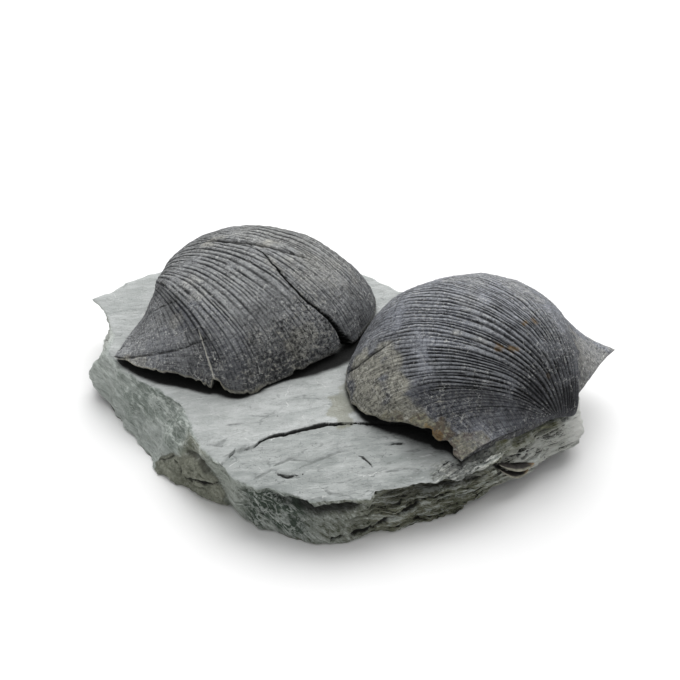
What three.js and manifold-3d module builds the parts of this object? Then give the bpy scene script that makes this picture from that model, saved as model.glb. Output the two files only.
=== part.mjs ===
// Two ribbed brachiopod fossils fixed on a block of slate.
// Millimetres, Z up. The block rests on its flat bed at z = 0, with its front towards -Y.
import * as THREE from 'three';
import { mergeVertices } from 'three/addons/utils/BufferGeometryUtils.js';
import Module from 'manifold-3d';

const wasm = await Module();
wasm.setup();

// Block of slate
const blockTop = 11; // height of the upper bedding face
const sheetStep = 0.55; // the rear bedding sheet stands this much above the front one
const blockCentre = [-1, 4]; // the outline is measured outwards from here
const blockColumns = 92;
const bellyHeight = 5.5; // the broken side stands out furthest here
const footBevel = 0.5;
const bedInset = 0.8; // the flat bed ends this far inside the foot
const bedRetreat = 2; // and further in by this much for each millimetre that the foot is raised
const topInsets = [0.12, 0.35, 0.65]; // rings of the upper face, as shares of the way to its middle
const topUnevenness = 0.12;

// Rim of the upper face, anticlockwise from the left rear tip:
// x, y, how far the side stands out at belly height, how far at the foot, height of the foot
const rim = [
  [-50, 28.2, -4.5, -7.5, 1.8],
  [-47.5, 24.6, -2.5, -3.5, 2],
  [-45.2, 19.1, 1.5, 0.5, 2.6],
  [-44.3, 16, 2.8, 2.6, 3],
  [-44.4, 13.4, 3.8, 3.4, 2.6],
  [-44.6, 9, 3.8, 3, 2],
  [-41.3, 3.6, 2, 3, 0],
  [-37.8, 0.3, 2.6, 3.9, 0],
  [-33.7, -2.9, 3.5, 5.4, 0],
  [-29.9, -7, 4.4, 6.8, 0],
  [-27.8, -9.8, 4.5, 7, 0],
  [-26.9, -13.3, 3.4, 4.5, 0],
  [-26.1, -17.1, 1.6, 1.6, 0],
  [-24.5, -20.6, 0.4, 0, 0],
  [-22.3, -23.5, -0.6, -1.4, 0],
  [-20, -26.3, -1, -2.2, 0],
  [-18.4, -28.7, -1.2, -2.6, 0],
  [-16.2, -30.5, -1.2, -2.4, 0],
  [-13.8, -32.1, -1, -2, 0],
  [-11.7, -31.7, -0.4, -0.6, 0],
  [-8.5, -33, -0.6, 0, 0],
  [-5.3, -34.5, -1.4, -0.4, 0],
  [1.9, -34.5, -1.2, 0.2, 0],
  [6.4, -35.1, -2.2, -2.6, 0],
  [7.3, -32.9, -0.6, -0.8, 0],
  [10.9, -31.6, -0.4, -0.4, 0],
  [14.7, -30, -0.6, -0.6, 0],
  [18.4, -29.5, -1.4, -1.6, 0],
  [21.7, -28.4, -1.8, -1.9, 0],
  [26.1, -26.6, -2, -3.1, 0.3],
  [30, -23.2, -1, -2.6, 1.6],
  [33.4, -19, 0.8, -0.8, 2.4],
  [36.6, -16.2, 1.4, 0.4, 3.2],
  [40, -14, 1, -0.6, 3],
  [42.5, -12, 1, -0.8, 3],
  [45, -10, 1.2, -0.8, 3.2],
  [46, 0, 0.6, -1, 2.2],
  [42, 12, -0.6, -2.2, 1.2],
  [34, 22, -1.2, -3.4, 0],
  [24, 29, -1, -3.6, 0],
  [13.5, 31.3, -0.4, -1.8, 0],
  [9, 35.5, -0.8, -2.4, 0],
  [5.7, 38.7, -1, -3.2, 0],
  [-6, 43, -0.8, -3, 0],
  [-18, 45, -1, -3.2, 0],
  [-28, 43, -0.8, -3, 0],
  [-36.3, 39.5, -1.4, -3.8, 0],
  [-40.3, 37.5, -1.8, -4.6, 0],
  [-43.8, 34.4, -2.4, -5.2, 0.2],
  [-46.6, 30.9, -3.4, -6.2, 1],
];
const layerHeights = [0, 1.8, 3.4, 5.2, 6.8, 8.6, 9.8]; // where one layer of slate ends
const layerSplit = 0.15; // height of the step between two layers
const layerRaggedness = 1.05; // how far a broken layer stands in or out
const raggedColumns = 3; // columns that break off together
const smoothSide = [182, 262]; // the left front face is one smooth slope between these angles
const smoothShare = 0.25; // share of the raggedness that is left on that slope

// Edge of the rear bedding sheet across the visible upper face, left to right
const sheetDepth = 2;
const beyondBlock = 60;
const sheetEdge = [
  [-52, 12],
  [-33, -5],
  [-24, -17.5],
  [-17, -17],
  [-12, -15.4],
  [-6, -13],
  [0, -11.6],
  [6, -11.2],
  [14, -12],
  [27, -21],
  [50, -26],
];

// Growth of a fossil: the margin is copied inwards and turned about the hinge up to the beak.
// Margin points are across, forward and up from the middle of the hinge line.
const leftFossil = {
  place: [-30.6, 27.2, 11.3],
  yaw: -119.3,
  pitch: 1,
  roll: -0.4,
  coil: 0.85,
  lateness: 1.38,
  pole: [0, -3, 1.4],
  beakLean: [0, 0], // how far the beak has shifted across and forward when it is full grown
  hingeBulge: 0, // how far the strip between the wing tips stands out behind the hinge line
  widthRate: 0.77,
  margin: [
    [25.4, -0.7, 0.2],
    [26.3, 8.5, 0.1],
    [24.5, 18.3, -0.2],
    [22.7, 26.9, -0.5],
    [16.1, 30.7, -0.1],
    [9.2, 33.8, 0.3],
    [0.6, 37.1, 0.3],
    [-10.3, 37.3, -0.2],
    [-18.9, 33.7, 0.1],
    [-22.2, 24.4, -0.1],
    [-23.7, 17, -0.1],
    [-24.2, 9.8, -0.1],
    [-23.7, 0.9, 0.1],
  ],
  brokenEdge: [6.6, 6.3, 3.7, 0.9, 0.2, 0, 0, 1, 0, 0, 0.5, 2.1, 4.1], // degrees lost at the margin
};
const rightFossil = {
  place: [39.9, -9.5, 10.9],
  yaw: 48.7,
  pitch: 1,
  roll: -0.2,
  coil: 0.83,
  lateness: 1.44,
  pole: [0, -2.9, 0.7],
  beakLean: [1.1, -1.4],
  hingeBulge: 5.2,
  widthRate: 0.96,
  margin: [
    [24.9, 1, 0.2],
    [24.3, 7.9, 0.1],
    [25.1, 16.3, 0],
    [24.9, 23.7, 0.1],
    [19.9, 33.6, 0],
    [12.1, 39.3, -0.1],
    [-0.3, 42.1, -0.2],
    [-11.7, 37.9, 0.2],
    [-19.9, 33.1, -0.1],
    [-25.5, 24.4, 0],
    [-24.7, 16.2, 0],
    [-23.5, 7.8, -0.1],
    [-23.2, 2.7, -0.1],
  ],
  brokenEdge: [3, 1.5, 0.6, 0, 0, 0, 0, 0, 0, 1.1, 5.2, 11.5, 5],
};
const ribCount = 56;
const ribHeight = 0.22; // crest to groove is twice this where the ribs are strongest
const acrossShare = 0.6; // a rib leans this much less across than forward and up
const smoothWing = 0.2; // share of the margin at each end where the ribs fade out
const wornMargin = 0.12; // share of the growth from the margin up where the ribs are worn
const wornHeight = 0.4; // share of the rib that is left at the margin itself
const leanTurns = [80, 170]; // degrees of growth between which the beak shifts
const bulgeFade = 0.33; // share of the bulge that is lost towards the first wing tip
const hingeColumns = 8; // strip behind the hinge line, between the two wing tips
const beakTurn = 230; // degrees from the margin to the tip of the beak
const growthStations = [0, 0.035, 0.08, 0.13, 0.19, 0.26, 0.35, 0.47, 0.64];
const seatHeight = 12; // underside of both fossils where the block carries them
const seatGap = 0.3;
const seatDepth = 3; // how deep the rise under a fossil reaches into the block
const seatShare = 0.62; // outline of that rise, as a share of the margin
const seatShift = 6; // and its way forward from the hinge
const lipWidth = 0.07; // thin margin of a fossil, as a share of the way to its middle
const lipThickness = 0.1;
const seatWidth = 0.3; // overhang of the margin before the seat begins

// Crack through the left fossil: x, y, floor of the crack, half of its width
const crackPath = [
  [-17, 22.4, 27.4, 0.05],
  [-13.6, 18.9, 24.6, 0.2],
  [-11, 15.8, 22, 0.24],
  [-8.8, 13.2, 19.5, 0.28],
  [-5.5, 11.1, 16, 0.3],
  [-2.7, 10.2, 14, 0.4],
  [-0.2, 9.5, 12.8, 0.55],
  [1.4, 8.9, 10.5, 0.8],
  [4, 8.4, 10.5, 1],
];
const crackTop = 32;

// Broken edge of a third fossil in the right front side of the block
const fragmentCentre = [33.3, -19.6, 6];
const fragmentRadii = [3.7, 3, 1.3];
const fragmentYaw = 38;
const pocketGap = 0.35;

function rad(degrees) {
  return THREE.MathUtils.degToRad(degrees);
}

// A repeatable number from 0 to 1 for a pair of whole numbers
function scatter(i, j) {
  const wave = Math.sin(i * 127.1 + j * 311.7) * 43758.5453;
  return wave - Math.floor(wave);
}

function mixed(a, b, share) {
  return a + (b - a) * share;
}

// Value of an evenly spaced list at a share from 0 to 1
function along(list, share) {
  const at = share * (list.length - 1);
  const low = Math.min(Math.floor(at), list.length - 2);
  return mixed(list[low], list[low + 1], at - low);
}

// Closed body from closed rings listed from the low pole to the high pole
function ringBody(lowPole, rings, highPole) {
  const size = rings[0].length;
  const points = [lowPole, ...rings.flat(), highPole];
  const faces = [];
  const last = points.length - 1;
  for (let j = 0; j < size; j += 1) {
    const next = (j + 1) % size;
    faces.push(0, 1 + next, 1 + j);
    for (let i = 0; i < rings.length - 1; i += 1) {
      const a = 1 + i * size + j;
      const b = 1 + i * size + next;
      faces.push(a, b, b + size, a, b + size, a + size);
    }
    faces.push(last - size + j, last - size + next, last);
  }
  const geometry = new THREE.BufferGeometry();
  geometry.setAttribute('position', new THREE.Float32BufferAttribute(points.flat(), 3));
  geometry.setIndex(faces);
  return geometry;
}

function toSolid(geometry) {
  const bare = geometry.clone();
  bare.deleteAttribute('normal');
  bare.deleteAttribute('uv');
  const merged = mergeVertices(bare, 1e-4);
  return new wasm.Manifold(new wasm.Mesh({
    numProp: 3,
    vertProperties: new Float32Array(merged.attributes.position.array),
    triVerts: new Uint32Array(merged.index.array),
  }));
}

function toGeometry(solid) {
  const mesh = solid.getMesh();
  const geometry = new THREE.BufferGeometry();
  geometry.setAttribute('position', new THREE.BufferAttribute(mesh.vertProperties, 3));
  geometry.setIndex(new THREE.BufferAttribute(mesh.triVerts, 1));
  geometry.computeVertexNormals();
  return geometry;
}

// Local point of a fossil, seen from above its seat, in the frame of the block
function placedPoint(fossil, point) {
  const turn = new THREE.Matrix4().makeRotationZ(rad(fossil.yaw));
  turn.multiply(new THREE.Matrix4().makeRotationX(rad(fossil.pitch)));
  turn.multiply(new THREE.Matrix4().makeRotationY(rad(fossil.roll)));
  const placed = new THREE.Vector3(...point).applyMatrix4(turn);
  return placed.add(new THREE.Vector3(...fossil.place)).toArray();
}

// One point of the grown surface: margin point, turn in radians, height of the rib at full size
function grownPoint(fossil, rim3, turn, rib) {
  const shrink = Math.exp(-fossil.coil * turn ** fossil.lateness);
  const across = rim3.x - fossil.pole[0];
  const forward = rim3.y - fossil.pole[1];
  const up = rim3.z - fossil.pole[2];
  const raised = rib * Math.sqrt(shrink) / Math.hypot(across * acrossShare, forward, up);
  const leaning = THREE.MathUtils.smoothstep(turn, rad(leanTurns[0]), rad(leanTurns[1]));
  const poleAcross = fossil.pole[0] + leaning * fossil.beakLean[0];
  const poleForward = fossil.pole[1] + leaning * fossil.beakLean[1];
  const u = poleAcross + across * (shrink ** fossil.widthRate + raised * acrossShare);
  const reach = shrink + raised;
  const v = poleForward + reach * (Math.cos(turn) * forward - Math.sin(turn) * up);
  const w = fossil.pole[2] + reach * (Math.sin(turn) * forward + Math.cos(turn) * up);
  return [u, v, w];
}

// Height of the rib or groove in a column: full on the dome, worn at the margin and on the wings
function ribAt(column, columns, share) {
  const side = Math.min(column, columns - column) / columns;
  const wing = THREE.MathUtils.smoothstep(side, 0, smoothWing);
  const margin = mixed(wornHeight, 1, THREE.MathUtils.smoothstep(share, 0, wornMargin));
  return (column % 2 === 0 ? -ribHeight : ribHeight) * wing * margin;
}

function fossilGeometry(fossil) {
  const curve = new THREE.CatmullRomCurve3(
    fossil.margin.map((p) => new THREE.Vector3(...p)),
    false,
    'catmullrom',
    0.5,
  );
  const columns = ribCount * 2;
  const rimPoints = curve.getSpacedPoints(columns);
  const rings = growthStations.map((share) => {
    const ring = rimPoints.map((rimPoint, column) => {
      const lost = rad(along(fossil.brokenEdge, column / columns));
      const turn = mixed(lost, rad(beakTurn), share);
      return grownPoint(fossil, rimPoint, turn, ribAt(column, columns, share));
    });
    const from = ring[columns];
    const to = ring[0];
    const span = (to[0] - from[0]) / (rimPoints[0].x - rimPoints[columns].x);
    for (let k = 1; k < hingeColumns; k += 1) {
      const share = k / hingeColumns;
      const point = from.map((value, axis) => mixed(value, to[axis], share));
      const bulge = fossil.hingeBulge * (1 - bulgeFade * share) * Math.sin(Math.PI * share);
      point[1] -= bulge * span ** 2;
      ring.push(point);
    }
    return ring.map((point) => placedPoint(fossil, point));
  });
  const edge = rings[0];
  const meanOf = (axis) => edge.reduce((sum, p) => sum + p[axis], 0) / edge.length;
  const middle = [meanOf(0), meanOf(1)];
  const lip = edge.map((p) => [
    mixed(p[0], middle[0], lipWidth),
    mixed(p[1], middle[1], lipWidth),
    p[2] + lipThickness,
  ]);
  const seat = edge.map((p) => [
    mixed(p[0], middle[0], seatWidth),
    mixed(p[1], middle[1], seatWidth),
    seatHeight,
  ]);
  const [across, forward, up] = fossil.pole;
  const beak = placedPoint(fossil, [across + fossil.beakLean[0], forward + fossil.beakLean[1], up]);
  return ringBody([...middle, seatHeight], [seat, lip, ...rings], beak);
}

// Wedge that opens the crack, from its floor to above the fossil
function crackGeometry() {
  const sections = crackPath.map((station, index) => {
    const before = crackPath[Math.max(0, index - 1)];
    const after = crackPath[Math.min(crackPath.length - 1, index + 1)];
    const run = new THREE.Vector2(after[0] - before[0], after[1] - before[1]).normalize();
    const [x, y, floor, half] = station;
    return [
      [x - run.y * half, y + run.x * half, crackTop],
      [x + run.y * half, y - run.x * half, crackTop],
      [x, y, floor],
    ];
  });
  const middleOf = ([a, b, c]) => [0, 1, 2].map((axis) => (a[axis] + b[axis] + c[axis]) / 3);
  const first = sections[0];
  sections.reverse();
  return ringBody(middleOf(sections[0]), sections, middleOf(first));
}

// Point of the block's outline at a share of the way round, with its side offsets
function rimAt(share) {
  const at = share * rim.length;
  const low = Math.floor(at) % rim.length;
  const next = (low + 1) % rim.length;
  return rim[low].map((value, k) => mixed(value, rim[next][k], at - Math.floor(at)));
}

function blockGeometry() {
  const columns = [...Array(blockColumns).keys()].map((column) => {
    const [x, y, belly, foot, footHeight] = rimAt(column / blockColumns);
    const dx = x - blockCentre[0];
    const dy = y - blockCentre[1];
    const radius = Math.hypot(dx, dy);
    const angle = (THREE.MathUtils.radToDeg(Math.atan2(dy, dx)) + 360) % 360;
    const smooth = angle > smoothSide[0] && angle < smoothSide[1];
    return { column, out: [dx / radius, dy / radius], radius, belly, foot, footHeight, smooth };
  });
  const ringAt = (offset, height) => columns.map((c) => {
    const reach = c.radius + offset(c);
    return [blockCentre[0] + c.out[0] * reach, blockCentre[1] + c.out[1] * reach, height(c)];
  });
  const sideOffset = (c, z) => {
    if (z < bellyHeight) {
      return mixed(c.foot, c.belly, Math.sin((z / bellyHeight) * Math.PI / 2));
    }
    return mixed(c.belly, 0, ((z - bellyHeight) / (blockTop - bellyHeight)) ** 1.5);
  };
  const ragged = (c, layer) => {
    const amount = c.smooth ? layerRaggedness * smoothShare : layerRaggedness;
    return amount * (scatter(layer, Math.floor(c.column / raggedColumns)) - 0.5);
  };
  const rings = [
    ringAt((c) => -c.radius * 0.5, () => 0),
    ringAt((c) => c.foot - bedInset - bedRetreat * c.footHeight, () => 0),
  ];
  // Rings below a raised foot are gathered just above it
  const underside = (c, z) => Math.max(z, c.footHeight + (z > c.footHeight ? 0 : z * 0.1));
  for (let layer = 0; layer < layerHeights.length; layer += 1) {
    const low = layerHeights[layer] + (layer === 0 ? footBevel : layerSplit);
    const high = layer + 1 < layerHeights.length ? layerHeights[layer + 1] : blockTop - sheetStep;
    for (const z of [low, high]) {
      rings.push(ringAt((c) => {
        const top = layer + 1 === layerHeights.length;
        return sideOffset(c, Math.max(z, c.footHeight)) + (top ? 0 : ragged(c, layer));
      }, (c) => underside(c, z)));
    }
  }
  const topHeight = blockTop - sheetStep;
  for (const inset of topInsets) {
    const uneven = (c) => (scatter(c.column, inset * 100) - 0.5) * topUnevenness;
    rings.push(ringAt((c) => -c.radius * inset, (c) => topHeight + uneven(c)));
  }
  return ringBody([...blockCentre, 0], rings, [...blockCentre, topHeight]);
}

// Bedding sheet over the rear of the block: the outline behind the sheet's front edge
function sheetGeometry() {
  const behind = new THREE.Shape(sheetEdge.map((p) => new THREE.Vector2(...p)));
  behind.lineTo(beyondBlock, beyondBlock);
  behind.lineTo(-beyondBlock, beyondBlock);
  behind.closePath();
  const region = new THREE.ExtrudeGeometry(behind, { depth: sheetDepth, bevelEnabled: false });
  region.translate(0, 0, blockTop - sheetDepth);
  const outline = [...Array(blockColumns).keys()].map((column) => {
    const [x, y] = rimAt(column / blockColumns);
    return new THREE.Vector2(x, y);
  });
  const cover = new THREE.ExtrudeGeometry(new THREE.Shape(outline), {
    depth: sheetDepth,
    bevelEnabled: false,
  });
  cover.translate(0, 0, blockTop - sheetDepth);
  return toSolid(region).intersect(toSolid(cover));
}

// Low rise of the block under a fossil, inside its margin
function seatSolid(fossil) {
  const inner = fossil.margin.map((p) => placedPoint(fossil, [p[0] * seatShare, p[1] * seatShare + seatShift, 0]));
  const outline = inner.reverse().map((p) => new THREE.Vector2(p[0], p[1]));
  const rise = new THREE.ExtrudeGeometry(new THREE.Shape(outline), {
    depth: seatHeight - seatGap - blockTop + seatDepth,
    bevelEnabled: false,
  });
  rise.translate(0, 0, blockTop - seatDepth);
  return toSolid(rise);
}

function fragmentGeometry(extra) {
  const geometry = new THREE.SphereGeometry(1, 16, 8);
  geometry.scale(fragmentRadii[0] + extra, fragmentRadii[1] + extra, fragmentRadii[2] + extra);
  geometry.rotateZ(rad(fragmentYaw));
  geometry.translate(...fragmentCentre);
  return geometry;
}

function piece(name, geometry, colour, roughness) {
  geometry.computeVertexNormals();
  const material = new THREE.MeshStandardMaterial({ color: colour, roughness, metalness: 0 });
  const mesh = new THREE.Mesh(geometry, material);
  mesh.name = name;
  return mesh;
}

const left = toSolid(fossilGeometry(leftFossil)).subtract(toSolid(crackGeometry()));
const block = toSolid(blockGeometry())
  .add(sheetGeometry())
  .add(seatSolid(leftFossil))
  .add(seatSolid(rightFossil))
  .subtract(toSolid(fragmentGeometry(pocketGap)));

const specimen = new THREE.Group();
specimen.add(piece('slate_block', toGeometry(block), 0xa3aaa6, 0.9));
specimen.add(piece('left_brachiopod', toGeometry(left), 0x55575c, 0.75));
specimen.add(piece('right_brachiopod', fossilGeometry(rightFossil), 0x4c4e58, 0.7));
specimen.add(piece('embedded_fragment', fragmentGeometry(0), 0x3d3230, 0.7));

export default specimen;
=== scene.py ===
import math
import bpy
import numpy as np
from mathutils import Euler, Matrix, Vector


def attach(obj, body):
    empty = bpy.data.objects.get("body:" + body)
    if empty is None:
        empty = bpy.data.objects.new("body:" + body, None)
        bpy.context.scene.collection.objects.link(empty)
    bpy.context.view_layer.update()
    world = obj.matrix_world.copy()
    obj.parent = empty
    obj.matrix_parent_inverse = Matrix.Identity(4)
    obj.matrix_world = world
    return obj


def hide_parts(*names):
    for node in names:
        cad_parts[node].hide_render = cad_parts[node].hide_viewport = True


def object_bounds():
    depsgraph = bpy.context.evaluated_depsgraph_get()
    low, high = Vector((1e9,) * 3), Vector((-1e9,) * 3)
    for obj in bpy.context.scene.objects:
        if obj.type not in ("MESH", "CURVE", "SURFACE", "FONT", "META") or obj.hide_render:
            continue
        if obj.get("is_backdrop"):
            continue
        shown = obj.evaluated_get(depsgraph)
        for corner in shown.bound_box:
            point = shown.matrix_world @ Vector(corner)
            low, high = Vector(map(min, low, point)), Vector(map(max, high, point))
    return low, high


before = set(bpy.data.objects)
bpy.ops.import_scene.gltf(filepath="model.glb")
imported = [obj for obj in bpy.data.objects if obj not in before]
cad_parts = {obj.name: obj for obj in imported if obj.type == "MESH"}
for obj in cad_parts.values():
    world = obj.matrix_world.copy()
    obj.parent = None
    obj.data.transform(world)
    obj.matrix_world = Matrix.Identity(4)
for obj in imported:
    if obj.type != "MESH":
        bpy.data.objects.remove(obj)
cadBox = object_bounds()
mm = 0.001  # sizes are written in millimetres and made in metres
print("frame loaded:", len(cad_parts), "nodes")


# Camera, floor and light

view = {
    "lens": 85,
    "sensor": 36,
    "elevation": 35,  # degrees above the table
    "distance": 316,
    "lookAt": (1.0, 9.6, 13.7),
}
studio = {
    "floorSize": 6000,
    "floorColour": (0.9, 0.9, 0.9, 1),
    "skyStrength": 0.54,
    "lamp": {"place": (80, 470, 650), "size": 1150, "power": 9.8},
}


def clearSelection():
    bpy.ops.object.select_all(action="DESELECT")


def makeCamera():
    tilt = math.radians(view["elevation"])
    back = Vector((0, -math.cos(tilt), math.sin(tilt)))
    place = (Vector(view["lookAt"]) + back * view["distance"]) * mm
    bpy.ops.object.camera_add(location=place, rotation=(math.pi / 2 - tilt, 0, 0))
    camera = bpy.context.object
    camera.name = "photoCamera"
    camera.data.lens = view["lens"]
    camera.data.sensor_width = view["sensor"]
    camera.data.clip_start = 0.01
    bpy.context.scene.camera = camera


def makeLamp(name, lamp):
    place = Vector(lamp["place"]) * mm
    bpy.ops.object.light_add(type="AREA", location=place)
    light = bpy.context.object
    light.name = name
    light.data.shape = "DISK"
    light.data.size = lamp["size"] * mm
    light.data.energy = lamp["power"]
    light.rotation_euler = place.to_track_quat("Z", "Y").to_euler()


def makeStudio():
    clearSelection()
    bpy.ops.mesh.primitive_plane_add(size=studio["floorSize"] * mm)
    floor = bpy.context.object
    floor.name = "floor"
    paper = bpy.data.materials.new("whitePaper")
    paper.use_nodes = True
    shader = paper.node_tree.nodes["Principled BSDF"]
    shader.inputs["Base Color"].default_value = studio["floorColour"]
    shader.inputs["Roughness"].default_value = 0.9
    shader.inputs["Specular IOR Level"].default_value = 0.1
    floor.data.materials.append(paper)
    floor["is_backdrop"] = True
    sky = bpy.data.worlds.new("softBox")
    sky.use_nodes = True
    sky.node_tree.nodes["Background"].inputs["Color"].default_value = (1, 1, 1, 1)
    sky.node_tree.nodes["Background"].inputs["Strength"].default_value = studio["skyStrength"]
    bpy.context.scene.world = sky
    makeLamp("overheadLamp", studio["lamp"])
    bpy.context.scene.view_settings.view_transform = "Standard"


makeCamera()
makeStudio()
print("camera and studio made")


# Small tools for forms

def smoothStep(low, high, value):
    share = np.clip((value - low) / (high - low), 0, 1)
    return share * share * (3 - 2 * share)


def between(fadeIn, full, last, fadeOut, value):
    # 1 from full to last, and 0 beyond fadeIn and fadeOut
    return smoothStep(fadeIn, full, value) * smoothStep(fadeOut, last, value)


def radians3(angles):
    return tuple(math.radians(angle) for angle in angles)


def listed(pairs, at):
    # value of a short list of (place, value) pairs, straight between them
    return np.interp(at, [p[0] for p in pairs], [p[1] for p in pairs])


def lumps(points, size, seed, octaves=1):
    # smooth noise from -1 to 1 with lumps of the given size
    cells = 24
    total = np.zeros(points.shape[:-1])
    for octave in range(octaves):
        table = np.random.default_rng(seed + octave).uniform(-1, 1, (cells, cells, cells))
        at = points * (2 ** octave) / np.asarray(size)
        low = np.floor(at).astype(int)
        part = at - low
        part = part * part * (3 - 2 * part)
        for corner in np.ndindex(2, 2, 2):
            weight = np.prod(np.where(np.array(corner) == 1, part, 1 - part), axis=-1)
            i, j, k = np.moveaxis((low + corner) % cells, -1, 0)
            total = total + weight * table[i, j, k] / (2 ** octave)
    return total


def fromLine(points, line):
    # distance to the nearest stretch of a line, and how far along the line that is, from 0 to 1
    line = np.asarray(line, float)
    nearest = np.full(points.shape[:-1], 1e9)
    along = np.zeros(points.shape[:-1])
    for index, (start, end) in enumerate(zip(line[:-1], line[1:])):
        run = end - start
        share = np.clip((points - start) @ run / (run @ run), 0, 1)
        distance = np.linalg.norm(points - start - share[..., None] * run, axis=-1)
        closer = distance < nearest
        nearest = np.where(closer, distance, nearest)
        along = np.where(closer, (index + share) / (len(line) - 1), along)
    return nearest, along


def wrapRows(name, rows, masks):
    # a closed skin through rows of points, from the lowest pole to the highest, anticlockwise from above
    around = rows.shape[1]
    rows = np.concatenate([rows, rows[:, :1]], axis=1)
    clearSelection()
    bpy.ops.mesh.primitive_grid_add(x_subdivisions=around, y_subdivisions=len(rows) - 1, size=2)
    piece = bpy.context.object
    piece.name = name
    flat = np.empty(len(piece.data.vertices) * 3)
    piece.data.vertices.foreach_get("co", flat)
    flat = flat.reshape(-1, 3) / 2 + 0.5
    column = np.rint(flat[:, 0] * around).astype(int)
    row = np.rint(flat[:, 1] * (len(rows) - 1)).astype(int)
    piece.data.vertices.foreach_set("co", (rows[row, column] * mm).ravel())
    for maskName, values in masks.items():
        layer = piece.data.attributes.new(maskName, "FLOAT", "POINT")
        values = np.concatenate([values, values[:, :1]], axis=1)
        layer.data.foreach_set("value", values[row, column].astype(np.float32))
    piece.data.update()
    bpy.ops.object.mode_set(mode="EDIT")
    bpy.ops.mesh.select_all(action="SELECT")
    bpy.ops.mesh.remove_doubles(threshold=0.000001)
    bpy.ops.object.mode_set(mode="OBJECT")
    bpy.ops.object.shade_smooth()
    return piece


# Small tools for finishes

class Wire:
    # one output socket of a finish, with sums written as Python
    def __init__(self, tree, socket):
        self.tree = tree
        self.socket = socket

    def node(self, kind, settings, sockets, out=0):
        made = self.tree.nodes.new("ShaderNode" + kind)
        for name, value in settings.items():
            setattr(made, name, value)
        for name, value in sockets.items():
            if isinstance(value, Wire):
                self.tree.links.new(value.socket, made.inputs[name])
            else:
                made.inputs[name].default_value = value
        return Wire(self.tree, made.outputs[out])

    def calc(self, operation, first, second=0.0):
        return self.node("Math", {"operation": operation}, {0: first, 1: second})

    def __add__(self, other):
        return self.calc("ADD", self, other)

    def __sub__(self, other):
        return self.calc("SUBTRACT", self, other)

    def __rsub__(self, other):
        return self.calc("SUBTRACT", other, self)

    def __mul__(self, other):
        return self.calc("MULTIPLY", self, other)

    __radd__ = __add__
    __rmul__ = __mul__

    def most(self, other):
        return self.calc("MAXIMUM", self, other)

    def step(self, low, high):
        # 0 below low and 1 above high, smooth between them
        sockets = {"Value": self, "From Min": low, "From Max": high}
        return self.node("MapRange", {"interpolation_type": "SMOOTHSTEP"}, sockets)

    def pick(self, none, full):
        # colour that goes from none to full as this mask goes from 0 to 1
        settings = {"data_type": "RGBA"}
        return self.node("Mix", settings, {0: self, 6: none, 7: full}, 2)

    def turned(self, angles, stretch):
        # place turned by angles in degrees and stretched, for streaks
        sockets = {"Vector": self, "Rotation": radians3(angles), "Scale": stretch}
        return self.node("Mapping", {"vector_type": "TEXTURE"}, sockets)

    def grain(self, size, detail=3.0, roughness=0.5):
        # noise from 0 to 1 with grains of a size in millimetres
        sockets = {"Vector": self, "Scale": 1 / (size * mm), "Detail": detail, "Roughness": roughness}
        return self.node("TexNoise", {}, sockets)

    def shaken(self, size, amount):
        # place shifted by noise, both in millimetres
        sockets = {"Vector": self, "Scale": 1 / (size * mm), "Detail": 2.0}
        noise = self.node("TexNoise", {}, sockets, 1)
        moved = self.node("VectorMath", {"operation": "SUBTRACT"}, {0: noise, 1: (0.5, 0.5, 0.5)})
        scaled = self.node("VectorMath", {"operation": "SCALE"}, {0: moved, "Scale": 2 * amount * mm})
        return self.node("VectorMath", {"operation": "ADD"}, {0: self, 1: scaled})

    def web(self, size, width):
        # thin lines between cells, 1 on the line, sizes in millimetres
        sockets = {"Vector": self, "Scale": 1 / (size * mm)}
        away = self.node("TexVoronoi", {"feature": "DISTANCE_TO_EDGE"}, sockets)
        return away.step(width / size, 0.3 * width / size)

    def terraces(self, levels):
        # the same rise in flat steps with short slopes between them
        rise = self * levels
        whole = rise.calc("FLOOR", rise)
        return (whole + (rise - whole).step(0.7, 1.0)) * (1 / levels)

    def risers(self, levels):
        # 1 on the short slopes between those flat steps
        rise = self * levels
        return (rise - rise.calc("FLOOR", rise)).step(0.86, 0.97)

    def beside(self, other):
        # place on a map made of two values
        return self.node("CombineXYZ", {}, {"X": self, "Y": other})

    def mask(self, name):
        return self.node("Attribute", {"attribute_name": name}, {}, 2)


def ink(red, green, blue):
    # colour from the usual 0 to 255 values
    parts = [v / 255 for v in (red, green, blue)]
    return tuple(v / 12.92 if v <= 0.04045 else ((v + 0.055) / 1.055) ** 2.4 for v in parts) + (1,)


def painted(colour, look, coats):
    # colour under thin coats, each given by its mask and the name of its ink
    for mask, name in coats:
        colour = mask.pick(colour, look[name])
    return colour


def startFinish(name):
    finish = bpy.data.materials.new(name)
    finish.use_nodes = True
    tree = finish.node_tree
    coordinates = tree.nodes.new("ShaderNodeTexCoord")
    return finish, tree.nodes["Principled BSDF"], Wire(tree, coordinates.outputs["Object"])


def endFinish(shader, place, colour, roughness, relief, reliefDepth):
    # relief is a height from 0 to 1, and reliefDepth what 1 means in millimetres
    links = place.tree.links
    bump = place.node("Bump", {}, {"Height": relief, "Distance": reliefDepth * mm, "Strength": 1.0})
    links.new(colour.socket, shader.inputs["Base Color"])
    links.new(roughness.socket, shader.inputs["Roughness"])
    links.new(bump.socket, shader.inputs["Normal"])


# Fossils, grown from their margins as in the solids

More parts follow.
